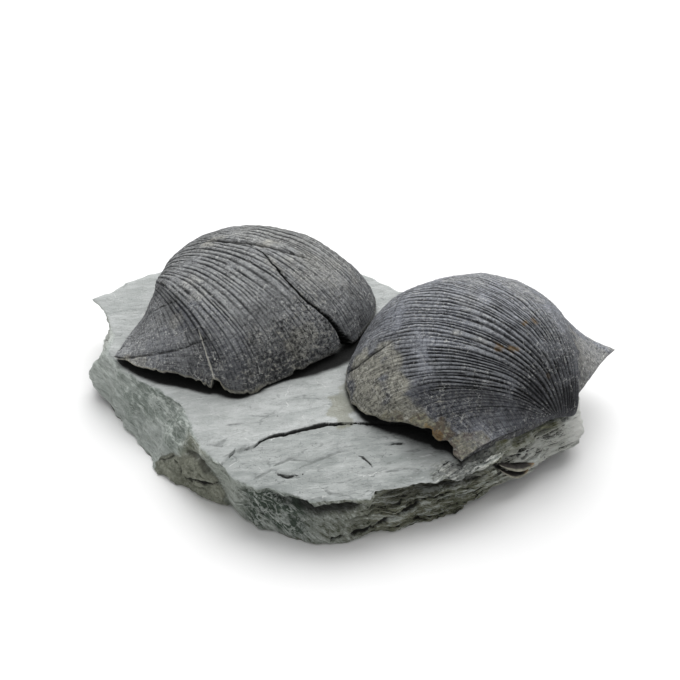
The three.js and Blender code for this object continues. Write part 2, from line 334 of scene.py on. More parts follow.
leftFossil = {
    "place": (-30.6, 27.2, 11.3),
    "turned": (-119.3, 1, -0.4),  # yaw, pitch and roll
    "coil": 0.85,
    "lateness": 1.38,
    "pole": (0, -3, 1.4),
    "beakLean": (0, 0),
    "hingeBulge": 0,
    "widthRate": 0.77,
    "margin": [
        (25.4, -0.7, 0.2), (26.3, 8.5, 0.1), (24.5, 18.3, -0.2), (22.7, 26.9, -0.5), (16.1, 30.7, -0.1),
        (9.2, 33.8, 0.3), (0.6, 37.1, 0.3), (-10.3, 37.3, -0.2), (-18.9, 33.7, 0.1), (-22.2, 24.4, -0.1),
        (-23.7, 17, -0.1), (-24.2, 9.8, -0.1), (-23.7, 0.9, 0.1),
    ],
    "brokenEdge": (6.6, 6.3, 3.7, 0.9, 0.2, 0, 0, 1, 0, 0, 0.5, 2.1, 4.1),
    "raggedEdge": 1.3,
    "chips": [
        (0.226, 0.013, 2.6), (0.209, 0.006, -1.5), (0.19, 0.008, 1), (0.115, 0.02, 0.8), (0.37, 0.05, -1.2),
        (0.565, 0.03, -2),
    ],
    "ribs": 28,
    "ribSweep": 0,
    "grooveWidth": 0.24,  # as a share of the width of a rib
    "forks": [(90, 64), (46, 26)],  # turns between which ribs fork on their way to the margin
    "ribDepth": [(0, 0.09), (12, 0.15), (40, 0.22), (90, 0.26), (150, 0.16)],
    "ribShow": [(0, 0.05), (0.08, 0.2), (0.16, 0.5), (0.25, 0.9), (0.45, 0.8), (0.5, 1), (0.9, 1), (1, 0.2)],
    "ribFade": [(0, 0.4), (12, 0.6), (22, 0.7), (34, 1), (70, 1), (110, 0.6)],
    "edgeShow": [(0, 1), (0.25, 1), (0.32, 0.25), (1, 0.25)],
    "seed": 11,
    # lines are lists of (share of the margin, turn, half width), with a depth
    "crack": [
        (0.530, 42, 0.04), (0.512, 34.6, 0.13), (0.497, 31.3, 0.16), (0.493, 28.4, 0.17),
        (0.483, 26.1, 0.17), (0.480, 23, 0.17), (0.478, 18.8, 0.18), (0.478, 16.5, 0.2),
        (0.487, 12, 0.2), (0.495, 9, 0.4), (0.499, 5, 0.6), (0.502, 2, 1.1), (0.506, 0, 1.9),
    ],
    "crackDepth": [(0, 0.6), (0.3, 1.5), (0.7, 2.5), (1, 5)],
    "grooves": [
        (0.5, [(0.500, 72, 0.1), (0.521, 60.8, 0.5), (0.517, 51.1, 0.55), (0.528, 45.5, 0.5),
               (0.541, 41, 0.4), (0.551, 35.8, 0.35), (0.565, 30.6, 0.3), (0.58, 26, 0.1)]),
        (0.25, [(0, 8.5, 0.2), (0.026, 9.1, 0.3), (0.067, 14.6, 0.35), (0.111, 16.7, 0.35),
                (0.148, 17.5, 0.4), (0.184, 18.6, 0.3), (0.241, 21.8, 0.25), (0.309, 15.7, 0.15),
                (0.354, 12, 0.1)]),
        (0.25, [(0.001, 16, 0.25), (0.048, 47.4, 0.3), (0.166, 47.8, 0.3), (0.240, 43.9, 0.1)]),
        (0.12, [(0.14, 6, 0.15), (0.19, 7, 0.2), (0.24, 9, 0.1)]),
    ],
    "veins": [[(0.238, 26, 0.12), (0.227, 17.3, 0.13), (0.223, 11.3, 0.15), (0.224, 5, 0.2)]],
    "pale": [
        (0.511, 58.4, 1.6, 1), (0.550, 55.7, 1.3, 0.7), (0.562, 37.8, 1.6, 0.9), (0.503, 30.3, 1.6, 0.6),
        (0.533, 27.9, 1.6, 0.45), (0.318, 47.8, 2.2, 0.35), (0.305, 39.5, 1.8, 0.35),
        (0.188, 33.6, 1.4, 0.5), (0.55, 22, 5, 0.4), (0.60, 16, 4, 0.35), (0.06, 11, 1.6, 0.7),
    ],
    "brown": [(0.409, 6.9, 3, 0.4), (0.438, 8.1, 2.4, 0.4), (0.62, 42, 7, 0.2), (0.64, 24, 7, 0.2)],
    "cool": [(0.228, 34, 4, 0.9), (0.275, 27.8, 3.5, 0.8), (0.277, 15.6, 5, 0.7), (0.122, 21.6, 4, 0.5)],
    "rust": [],
    "crust": [(0.03, 8, 1.2, 0.5), (0.23, 2, 1.2, 0.5), (0.3, 0, 1.4, 0.4)],
    # spots painted darker towards the shade ink, as painted shade where the surface lies in shadow
    "paintedShade": [
        (0.33, 8, 7, 1), (0.27, 20, 5, 0.5), (0.36, 4, 4, 0.9), (0.14, 6, 2, 0.4), (0.38, 15, 7, 0.6),
        (0.31, 14, 6, 0.6),
    ],
    "rough": [
        (0.44, 7, 7, 1), (0.40, 5, 7, 1), (0.36, 8, 6, 0.8), (0.47, 13, 5, 0.8), (0.53, 22, 4, 0.4),
        (0.30, 3, 5, 0.7), (0.58, 14, 4, 0.3), (0.22, 6, 4, 0.6), (0.51, 60, 4, 0.6),
    ],
}
rightFossil = {
    "place": (39.9, -9.5, 10.9),
    "turned": (48.7, 1, -0.2),
    "coil": 0.83,
    "lateness": 1.44,
    "pole": (0, -2.9, 0.7),
    "beakLean": (1.1, -1.4),  # how far the beak shifts across and forward as it grows
    "hingeBulge": 5.2,  # how far the strip between the wing tips stands out behind the hinge line
    "widthRate": 0.96,
    "margin": [
        (24.9, 1, 0.2), (24.3, 7.9, 0.1), (25.1, 16.3, 0), (24.9, 23.7, 0.1), (19.9, 33.6, 0),
        (12.1, 39.3, -0.1), (-0.3, 42.1, -0.2), (-11.7, 37.9, 0.2), (-19.9, 33.1, -0.1), (-25.5, 24.4, 0),
        (-24.7, 16.2, 0), (-23.5, 7.8, -0.1), (-23.2, 2.7, -0.1),
    ],
    "brokenEdge": (3, 1.5, 0.6, 0, 0, 0, 0, 0, 0, 1.1, 5.2, 11.5, 5),
    "raggedEdge": 0.7,
    "chips": [(0.915, 0.012, 1.2), (0.962, 0.02, 4)],
    "ribs": 24,
    "ribSweep": 0.0015,  # how strongly the ribs turn aside towards the beak
    "grooveWidth": 0.26,
    "forks": [(100, 76), (74, 44)],
    "ribDepth": [(0, 0.09), (12, 0.15), (30, 0.24), (60, 0.4), (100, 0.42), (150, 0.2)],
    "ribShow": [(0, 0.1), (0.12, 0.3), (0.3, 0.5), (0.42, 0.9), (0.55, 1), (0.8, 1), (0.88, 0.6), (1, 0.25)],
    "ribFade": [(0, 0.25), (12, 0.45), (24, 0.8), (40, 1), (150, 1)],
    "edgeShow": [(0, 0.4), (0.6, 0.6), (0.7, 1), (1, 1)],
    "seed": 37,
    "crack": None,
    "grooves": [
        (0.35, [(0.684, 1.2, 0.25), (0.689, 3.7, 0.3), (0.702, 7.7, 0.3), (0.702, 12.3, 0.3),
                (0.697, 16.1, 0.3), (0.688, 19.4, 0.2), (0.68, 22.5, 0.1)]),
    ],
    "veins": [
        [(0.866, 24, 0.05), (0.862, 27, 0.1), (0.87, 30, 0.05)],
        [(0.885, 40, 0.05), (0.876, 42, 0.1), (0.872, 45, 0.05)],
    ],
    "pale": [
        (0.536, 40.2, 2.5, 0.3), (0.337, 39.5, 5, 0.4), (0.93, 14, 1.6, 0.4), (0.878, 16, 1.8, 0.5),
        (0.98, 16, 1.4, 0.2), (0.4, 30, 6, 0.3), (0.652, 41, 1, 0.7), (0.66, 50, 1.2, 0.5),
        (0.026, 33, 6, 0.7), (0.046, 58, 5, 0.5),
    ],
    "brown": [
        (0.734, 12.7, 4.2, 1), (0.790, 10.6, 3.6, 1), (0.773, 6.8, 3.2, 1), (0.793, 19.5, 3, 1),
        (0.844, 13.9, 3, 1), (0.70, 9, 3.5, 1), (0.74, 21, 2.6, 0.9), (0.878, 13, 2.2, 1),
        (0.91, 12, 2, 1), (0.70, 18.5, 2.4, 0.9), (0.82, 5, 4, 1),
    ],
    "cool": [(0.65, 36, 6, 0.8), (0.62, 22, 6, 0.6), (0.84, 32, 5, 0.4), (0.93, 34, 4, 0.2)],
    "rust": [
        (0.506, 59.8, 0.7, 1), (0.452, 60.2, 0.6, 0.8), (0.66, 56.4, 0.9, 0.7), (0.636, 60.6, 0.8, 0.9),
        (0.628, 82, 0.5, 0.3), (0.915, 11.5, 1.1, 0.9), (0.935, 11, 0.9, 0.8),
    ],
    "crust": [
        (0.845, 6, 1.5, 0.7), (0.865, 8, 1.5, 0.8), (0.885, 10, 1.8, 0.9), (0.905, 12, 2, 1),
        (0.925, 14, 1.8, 1), (0.945, 14, 2, 1), (0.965, 13, 1.8, 0.9), (0.985, 9, 1.6, 0.8),
        (0.975, 16, 2.4, 0.7), (0.985, 24, 2, 0.5),
    ],
    # spots painted darker towards the shade ink, as painted shade where the surface lies in shadow
    "paintedShade": [
        (0.67, 103, 4, 0.5), (0.62, 64, 5, 0.6), (0.59, 81, 6, 1), (0.51, 100, 5, 0.8), (0.72, 80, 5, 0.6),
        (0.96, 60, 4, 0.6), (0.66, 24, 6, 0.3), (0.5, 72, 6, 0.6), (0.46, 84, 5, 0.6), (0.97, 8, 3, 0.5),
        (0.02, 40, 8, 0.3),
    ],
    "rough": [
        (0.73, 8, 6, 0.7), (0.80, 12, 6, 0.7), (0.90, 24, 7, 0.5), (0.95, 16, 6, 0.8), (0.7, 18, 5, 0.5),
        (0.4, 62, 7, 0.3),
    ],
}
# the margins also mark where shadow is painted on the slab
footprints = []  # margins of the fossils seen from above, which keep the light off the slab
fossilMesh = {
    "columns": 768,
    "hingeColumns": 30,  # of them, those between the two wing tips
    "growthRows": 122,
    "lastTurn": 172,  # the beak closes beyond this turn
    "rowCrowding": 1.2,  # above 1, rows are closer together at the margin
    "edgeThickness": 0.3,
    "leanTurns": (80, 170),
    "bulgeFade": 0.33,
    "underside": [(0.04, 0.2), (0.1, 0.4), (0.3, 0), (0.6, 0)],  # way in, and rise above the edge
    "edgeSlant": 0.008,  # way in from the margin to the lower side of the broken edge
    "flatFrom": 0.2,  # further in than this, the underside is flat
    "undersideHeight": 12,
    "lowest": 11.06,
    "lineReach": 4,  # lines are followed this many half widths away
}
fossilRelief = {
    "grain": 0.09,  # millimetres that each kind stands out, at most
    "lumps": 0.22,
    "growthLines": 0.05,
    "brownHollow": 0.14,
    "crust": (0.25, 0.3),
    "lineShake": 0.12,
    "hingeLumps": 0.2,
}
# kinds of spots: name, seed, raggedness, size of the rags, and strength on the underside and behind
spotKinds = [
    ("brown", 7, 0.25, 2.2, 0.3, 0), ("pale", 8, 0.8, 2.2, 0, 0.2), ("cool", 9, 0.35, 2.2, 0, 0.1),
    ("rust", 10, 0.8, 0.7, 0, 0), ("crust", 13, 0.6, 2.2, 0, 0), ("paintedShade", 16, 0.5, 2.2, 0, 0.6),
    ("rough", 17, 0.6, 2.2, 0, 0.5),
]


def smoothLine(points, count):
    # curve through the points, evenly spaced along its length
    points = np.array(points, float)
    first = 2 * points[0] - points[1]
    last = 2 * points[-1] - points[-2]
    knots = np.vstack([first, points, last])
    share = np.linspace(0, 1, 60, endpoint=False)[:, None]
    parts = []
    for a, b, c, d in zip(knots[:-3], knots[1:-2], knots[2:-1], knots[3:]):
        bend = (2 * a - 5 * b + 4 * c - d) * share ** 2 + (3 * b - a - 3 * c + d) * share ** 3
        parts.append(b + 0.5 * ((c - a) * share + bend))
    dense = np.vstack([*parts, points[-1:]])
    run = np.r_[0, np.cumsum(np.linalg.norm(np.diff(dense, axis=0), axis=1))]
    even = np.linspace(0, run[-1], count)
    return np.column_stack([np.interp(even, run, dense[:, axis]) for axis in range(3)])


def placed(fossil, local):
    yaw, pitch, roll = (math.radians(angle) for angle in fossil["turned"])
    turn = Matrix.Rotation(yaw, 3, "Z") @ Matrix.Rotation(pitch, 3, "X") @ Matrix.Rotation(roll, 3, "Y")
    return local @ np.array(turn).T + np.array(fossil["place"])


def shrunk(fossil, turn):
    # size of the copy of the margin at a turn, as a share of the margin
    return np.exp(-fossil["coil"] * np.radians(np.maximum(turn, 0)) ** fossil["lateness"])


def grown(fossil, share, turn):
    # points of the surface from the share of the margin and the turn in degrees
    steps = 1201
    rim = smoothLine(fossil["margin"], steps)
    at = np.linspace(0, 1, steps)
    pole = fossil["pole"]
    across, forward, up = (np.interp(share, at, rim[:, axis]) - pole[axis] for axis in range(3))
    angle = np.radians(np.maximum(turn, 0))
    shrink = shrunk(fossil, turn)
    lean = smoothStep(*fossilMesh["leanTurns"], turn)
    u = pole[0] + lean * fossil["beakLean"][0] + shrink ** fossil["widthRate"] * across
    v = pole[1] + lean * fossil["beakLean"][1]
    v = v + shrink * (np.cos(angle) * forward - np.sin(angle) * up)
    w = pole[2] + shrink * (np.sin(angle) * forward + np.cos(angle) * up)
    return placed(fossil, np.stack([u, v, w], axis=-1))


def grooveShare(fossil, share, turn):
    # 0 on the crest of a rib and 1 in the groove between two, with ribs that fork twice towards the margin
    draw = np.random.default_rng(fossil["seed"])
    count = fossil["ribs"]
    wander = lumps(np.stack([share * 26, turn / 16, 0 * turn], axis=-1), 1, fossil["seed"])
    phase = share * count + 0.15 * wander - fossil["ribSweep"] * np.maximum(turn - 60, 0) ** 2
    forked = []
    for times, (early, late) in zip((1, 2), fossil["forks"]):
        number = np.floor(phase * times).astype(int) % (count * times)
        start = draw.uniform(late, early, count * times)[number]
        forked.append(smoothStep(start, start - 12, turn))
    width = fossil["grooveWidth"] * (1 - 0.5 * forked[0]) * (1 - 0.5 * forked[1])
    width = width * (1 + 0.35 * smoothStep(70, 110, turn))
    total = np.zeros(share.shape)
    for times, offset, presence in ((1, 0, 1), (1, 0.5, forked[0]), (2, 0.5, forked[0] * forked[1])):
        along = phase * times - offset
        number = np.rint(along).astype(int) % (count * times)
        strength = draw.uniform(0.65, 1.15, count * times)[number]
        shift = draw.uniform(-0.06, 0.06, count * times)[number]
        away = (along - np.rint(along) - shift) / times
        total = np.maximum(total, presence * strength * np.exp(-(away / width) ** 2))
    return total


def blotches(fossil, points, spots, seed, ragged, size):
    # ragged spots given as (share, turn, radius, strength)
    total = np.zeros(points.shape[:-1])
    rough = lumps(points, size, seed, 4)
    for share, turn, radius, strength in spots:
        centre = grown(fossil, np.array(share), np.array(turn))
        distance = np.linalg.norm(points - centre, axis=-1) / radius + ragged * rough
        total = np.maximum(total, strength * smoothStep(1.1, 0.75, distance))
    return total


def lineOn(fossil, points, stations):
    # distance to a line drawn on the fossil, its half width there, and the share along it
    table = np.array(stations, float)
    line = grown(fossil, table[:, 0], table[:, 1])
    distance, along = fromLine(points, line)
    half = np.interp(along * (len(table) - 1), np.arange(len(table)), table[:, 2])
    return distance, half, along


def brokenMargin(fossil, share):
    # turn at which the surface starts, where its edge is broken
    broken = np.interp(share * 12, np.arange(13), fossil["brokenEdge"])
    tear = lumps(np.stack([share * 34, 0 * share, 0 * share], axis=-1), 1, fossil["seed"] + 5, 4)
    broken = broken + fossil["raggedEdge"] * (tear + 0.1)
    for place, width, loss in fossil["chips"]:
        broken = broken + loss * smoothStep(1, 0.4, np.abs(share - place) / width)
    return np.maximum(broken, 0)


def surfaceHeight(fossil, turn, points, groove, show, spots):
    # ribs, grain, lumps, growth lines, worn patches and crust, above the grown surface
    seed = fossil["seed"]
    size = shrunk(fossil, turn)
    depth = listed(fossil["ribDepth"], turn) * np.minimum(1, size * 6) * show
    height = depth * (0.4 - groove)
    detail = np.minimum(1, size * 5)
    height += detail * fossilRelief["grain"] * lumps(points, 1.1, seed + 1, 4)
    height += detail * fossilRelief["lumps"] * lumps(points, 6, seed + 2, 2)
    lines = np.sin(turn * 2.1 + 3 * lumps(points, 6, seed + 3))
    height += fossilRelief["growthLines"] * detail * lines * smoothStep(70, 20, turn)
    height -= fossilRelief["brownHollow"] * smoothStep(0.2, 0.6, spots["brown"])
    thick, uneven = fossilRelief["crust"]
    return height + spots["crust"] * (thick + uneven * lumps(points, 1.6, seed + 15, 3))


def drawnLines(fossil, points):
    # how far away the nearest groove, vein and crack are, and how deep they cut
    shake = fossilRelief["lineShake"] * lumps(points, 0.8, fossil["seed"] + 20, 2)
    far = np.full(shake.shape, float(fossilMesh["lineReach"]))
    away = {"lineAway": far, "veinAway": far, "crackAway": far}
    cut = 0 * shake
    for grooveDepth, stations in fossil["grooves"]:
        distance, half, _ = lineOn(fossil, points, stations)
        distance = (distance + shake) / half
        cut += grooveDepth * smoothStep(1.6, 0.3, distance)
        faint = 0.7 * smoothStep(0.4, 0.1, grooveDepth)
        away["lineAway"] = np.minimum(away["lineAway"], distance + faint)
    for stations in fossil["veins"]:
        distance, half, _ = lineOn(fossil, points, stations)
        away["veinAway"] = np.minimum(away["veinAway"], (distance + 0.5 * shake) / half)
    if fossil["crack"]:
        distance, half, along = lineOn(fossil, points, fossil["crack"])
        away["crackAway"] = np.clip(distance + 0.7 * shake - 0.9 * half, -1, fossilMesh["lineReach"])
        cut += smoothStep(0.1, -0.2, away["crackAway"]) * listed(fossil["crackDepth"], along)
    return away, cut


def undersideRings(margin):
    # rings from the underside out to the thin broken edge, and the middle that they are drawn in to
    middle = margin.mean(axis=0)
    middle[2] = fossilMesh["undersideHeight"]
    rings = []
    for inward, rise in [(fossilMesh["edgeSlant"], -fossilMesh["edgeThickness"]), *fossilMesh["underside"]]:
        ring = margin + (middle - margin) * [inward, inward, 0]
        ring[:, 2] = margin[:, 2] + rise
        if inward > fossilMesh["flatFrom"]:
            ring[:, 2] = fossilMesh["undersideHeight"]
        ring[:, 2] = np.maximum(ring[:, 2], fossilMesh["lowest"])
        rings.append(ring)
    return np.stack(rings[::-1]), middle


def hingeStrip(fossil, rows, marginRow):
    # closes each ring with the strip between the wing tips
    strip = np.linspace(0, 1, fossilMesh["hingeColumns"] + 1)[1:-1, None]
    closing = rows[:, -1:] + (rows[:, :1] - rows[:, -1:]) * strip
    span = np.linalg.norm(rows[:, 0] - rows[:, -1], axis=-1)
    span = span / span[marginRow]
    backward = placed(fossil, np.array([0, -1, 0])) - np.array(fossil["place"])
    bulge = fossil["hingeBulge"] * (1 - fossilMesh["bulgeFade"] * strip) * np.sin(math.pi * strip) ** 1.8
    closing += bulge * backward * (span ** 2)[:, None, None]
    uneven = fossilRelief["hingeLumps"] * lumps(closing, 1.8, fossil["seed"] + 14, 3)
    uneven = uneven * np.minimum(1, 3 * span)[:, None]
    return closing + uneven[..., None] * backward


def growFossil(name, node, fossil, finish):
    bodyColumns = fossilMesh["columns"] - fossilMesh["hingeColumns"] + 1
    seed = fossil["seed"]
    rowShare = np.arange(fossilMesh["growthRows"]) / (fossilMesh["growthRows"] - 1)
    rowShare = rowShare ** fossilMesh["rowCrowding"]
    share = np.linspace(0, 1, bodyColumns)
    broken = brokenMargin(fossil, share)
    turn = broken + (fossilMesh["lastTurn"] - broken) * rowShare[:, None]
    share = np.broadcast_to(share, turn.shape)
    points = grown(fossil, share, turn)
    normal = np.cross(np.gradient(points, axis=1), np.gradient(points, axis=0))
    normal /= np.linalg.norm(normal, axis=-1, keepdims=True) + 1e-9

    groove = grooveShare(fossil, share, turn)
    spots = {kind: blotches(fossil, points, fossil[kind], seed + shift, ragged, size)
             for kind, shift, ragged, size, _, _ in spotKinds}
    worn = smoothStep(0.1, 0.8, lumps(points, 4, seed + 12, 4))
    show = listed(fossil["ribShow"], share) * listed(fossil["ribFade"], turn) * (1 - 0.6 * worn)
    show = show * (1 - 0.6 * spots["brown"]) * (1 - 0.5 * spots["pale"]) * (1 - 0.8 * spots["crust"])
    height = surfaceHeight(fossil, turn, points, groove, show, spots)
    away, cut = drawnLines(fossil, points)
    points = points + normal * (height - cut)[..., None]
    edge = smoothStep(1.1, 0.2, turn - broken + 0.5 * worn) * listed(fossil["edgeShow"], share)

    footprints.append(points[0, :, :2])
    rings, middle = undersideRings(points[0])
    rows = np.concatenate([rings, points])
    rows = np.concatenate([rows, hingeStrip(fossil, rows, len(rings))], axis=1)
    lowPole = np.broadcast_to(middle, (1, *rows.shape[1:]))
    beak = np.array(fossil["pole"], float) + [*fossil["beakLean"], 0]
    highPole = np.broadcast_to(placed(fossil, beak), lowPole.shape)
    rows = np.concatenate([lowPole, rows, highPole])
    under = 1 + len(rings)

    def spread(values, below, behind):
        # mask over the whole piece: the grown surface, the underside and the strip
        whole = np.full(rows.shape[:2], float(behind))
        whole[under:-1, :bodyColumns] = values
        whole[:under] = below
        return whole

    small = smoothStep(0, 0.1, shrunk(fossil, turn))
    masks = {
        "groove": spread(groove * show * small, 0, 0),
        "crest": spread((1 - groove) * show * small, 0, 0),
        "edge": spread(edge, 0, 0),
        # the underside, which is painted black as painted shade
        "under": spread(0, 1, 0),
        "facing": spread(np.clip(normal[..., 2], 0, 1), 0, 0.3),
        "share": spread(share, 0, 0),
        "turn": spread(turn, 0, 0),
    }
    for kind, _, _, _, below, behind in spotKinds:
        masks[kind] = spread(spots[kind], below, behind)
    for kind, distance in away.items():
        masks[kind] = spread(distance, fossilMesh["lineReach"], fossilMesh["lineReach"])
    masks["under"][under - 1] = 0
    piece = wrapRows(name, rows, masks)
    piece.data.materials.append(finish)
    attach(piece, "root")
    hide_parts(node)
    return piece


fossilLook = {
    "dark": ink(54, 56, 61),
    "light": ink(170, 173, 178),
    "cool": ink(84, 89, 106),
    # dust on upward faces, which also stands for painted top light
    "dustAndTopLight": ink(196, 198, 198),
    # painted shade, on faces turned away from the light and in the shade spots
    "shade": ink(40, 41, 44),
    "brown": ink(196, 194, 180),
    "brownDark": ink(110, 109, 101),
    "crust": ink(190, 185, 154),
    "maroon": ink(84, 66, 56),
    "pale": ink(186, 184, 174),
    # painted shade in the grooves between ribs
    "groove": ink(24, 25, 28),
    "crest": ink(170, 172, 170),
    "fleck": ink(226, 226, 222),
    "pit": ink(16, 16, 18),
    "rust": ink(142, 108, 44),
    "vein": ink(212, 210, 200),
    "edge": ink(186, 182, 164),
    "black": ink(6, 6, 6),
}


def fossilFinish(name, look):
    finish, shader, place = startFinish(name)
    groove = place.mask("groove").step(0.05, 0.78)
    share = place.mask("share")
    turn = place.mask("turn")
    rough = place.mask("rough")

    # noise in place, and along the ribs and the growth lines
    streaks = (share * 260).beside(turn * 0.16).grain(1000, 4.0, 0.7)
    growth = (share * 22).beside(turn * 1.3).grain(1000, 5.0, 0.75)
    longGrowth = (share * 6).beside(turn * 1.2).grain(1000, 5.0, 0.75)
    wings = share.step(0.3, 0.16).most(share.step(0.84, 0.94)) * 0.6 + 0.3
    cloud = place.grain(4.5, 5.0, 0.65).step(0.36, 0.66)
    mottle = (place.grain(0.9, 5.0, 0.8) * 0.62 + streaks * 0.38).step(0.39, 0.62)
    sand = place.grain(0.28, 3.0, 0.7)
    flecks = place.grain(0.45, 4.0, 0.8).step(0.56, 0.66) * place.grain(5, 4.0, 0.6).step(0.4, 0.6)
    pits = place.grain(0.65, 3.0, 0.7).step(0.43, 0.34)
    grit = place.grain(0.8, 5.0, 0.85)
    wear = place.grain(2.5, 4.0, 0.7).step(0.4, 0.55)
    scratch = place.shaken(1.2, 0.8).web(4.5, 0.05) * place.grain(7, 2.0).step(0.5, 0.6)
    # faces turned up are painted lighter, as dust and as painted top light, and the others darker, as
    # painted shade
    dustAndTopLight = place.mask("facing").step(0.35, 1.0)

    colour = painted((cloud * 0.5 + mottle * 0.5).pick(look["dark"], look["light"]), look, [
        (place.mask("cool") * 0.75, "cool"),
        (streaks.step(0.5, 0.7) * 0.4, "crest"),
        # rib crests painted lighter, partly as dust and partly as painted highlight
        (place.mask("crest") * (0.15 + 0.45 * mottle), "crest"),
        (dustAndTopLight * (0.12 + 0.55 * mottle), "dustAndTopLight"),
        ((1 - dustAndTopLight) * 0.5, "shade"),
        # painted shade in the spots listed for it
        (place.mask("paintedShade") * (0.6 - 0.2 * mottle), "shade"),
    ])
    brown = (mottle * 0.6 + streaks.step(0.35, 0.65) * 0.4).pick(look["brownDark"], look["brown"])
    colour = (place.mask("brown") * 0.94).pick(colour, brown)
    colour = painted(colour, look, [
        (place.mask("pale") * (0.2 + 0.7 * mottle), "pale"),
        (growth.step(0.47, 0.34) * (0.65 - 0.3 * place.mask("crest")), "pit"),
        (growth.step(0.54, 0.66) * 0.45, "crest"),
        (longGrowth.step(0.46, 0.36) * wings * 0.8, "pit"),
        (longGrowth.step(0.55, 0.64) * wings * 0.5, "crest"),
        (sand.step(0.45, 0.25) * 0.5, "pit"),
        (pits * 0.6, "pit"),
        (rough * grit.step(0.5, 0.4), "pit"),
        (rough * grit.step(0.52, 0.64) * 0.85, "pale"),
        # grooves between the ribs painted dark, as painted shade in them
        (groove * (0.72 + 0.26 * wear), "groove"),
        (flecks * (0.85 - 0.5 * groove), "fleck"),
        (scratch * place.grain(1.4, 2.0).step(0.42, 0.55) * 0.6, "fleck"),
        (place.mask("edge") * (0.3 + 0.6 * mottle), "edge"),
    ])
    patches = place.grain(2.4, 3.0, 0.6)
    crust = painted((mottle * 0.7 + 0.3 * flecks).pick(look["brownDark"], look["crust"]), look, [
        (patches.step(0.53, 0.58) * 0.7, "maroon"),
        (patches.step(0.42, 0.37) * 0.25, "rust"),
    ])
    colour = (place.mask("crust") * 0.9).pick(colour, crust)
    colour = painted(colour, look, [
        (place.mask("rust") * (0.3 + 0.5 * mottle), "rust"),
        (place.mask("veinAway").step(1.4, 0.7) * (0.35 + 0.6 * sand), "vein"),
        (place.mask("lineAway").step(1.5, 0.4) * 0.85, "black"),
        # the crack is painted black, as painted shade inside it
        (place.mask("crackAway").step(0.2, 0.04), "black"),
        # the underside is painted black, as painted shade under the margin
        (place.mask("under"), "black"),
    ])
    relief = mottle * 0.4 + sand * 0.3 + growth * 0.3 + longGrowth * wings * 0.4
    endFinish(shader, place, colour, 0.62 + 0.25 * sand, relief, 0.5)
    shader.inputs["Specular IOR Level"].default_value = 0.3
    return finish


left = growFossil("greyBrachiopod", "left_brachiopod", leftFossil,
                  fossilFinish("greyFossilSurface", fossilLook))
print("left fossil grown")
rightLook = dict(fossilLook, dark=ink(52, 54, 61), light=ink(164, 168, 179), dustAndTopLight=ink(190, 194, 202),
                 groove=ink(10, 10, 12), shade=ink(35, 36, 41))
right = growFossil("darkBrachiopod", "right_brachiopod", rightFossil,
                   fossilFinish("darkFossilSurface", rightLook))
print("right fossil grown")


# Slab of slate

slab = {
    "top": 11,
    "step": 0.28,  # the rear bedding sheet stands this much above the front one
    "centre": (-1, 4),
    "middle": (2.5, 10),  # where the rows of the upper face meet, hidden between the fossils
    "belly": 5.5,
    "bed": (0.8, 2),  # the flat bed ends this far inside the foot, and further where the foot is raised
    "footBevel": 0.3,
    "columns": 660,
    "frontEnd": 35.5,  # columns are dense up to this station of the rim
    "rearDensity": 0.3,
    "sideRows": 60,
    "topRows": 80,
    "stepRow": 34,  # this row of the upper face follows the edge of the rear sheet
    "layer": 0.65,
    "lineReach": 4.0,  # lines are followed this many half widths away
    # by x, how far the painted shadow under a fossil reaches out in front of its margin
    "shadeReach": [
        (-42, 0.2), (-36, 1), (-26, 1), (-20, 0.6), (-16, 0), (10, 0), (16, 0.3), (26, 0.2), (30, 0),
    ],
    "softShade": [(11, 0), (14, 1), (24, 1), (28, 0.4), (32, 0.1)],  # by x, strength of a wider one
    "softReach": -9,
}
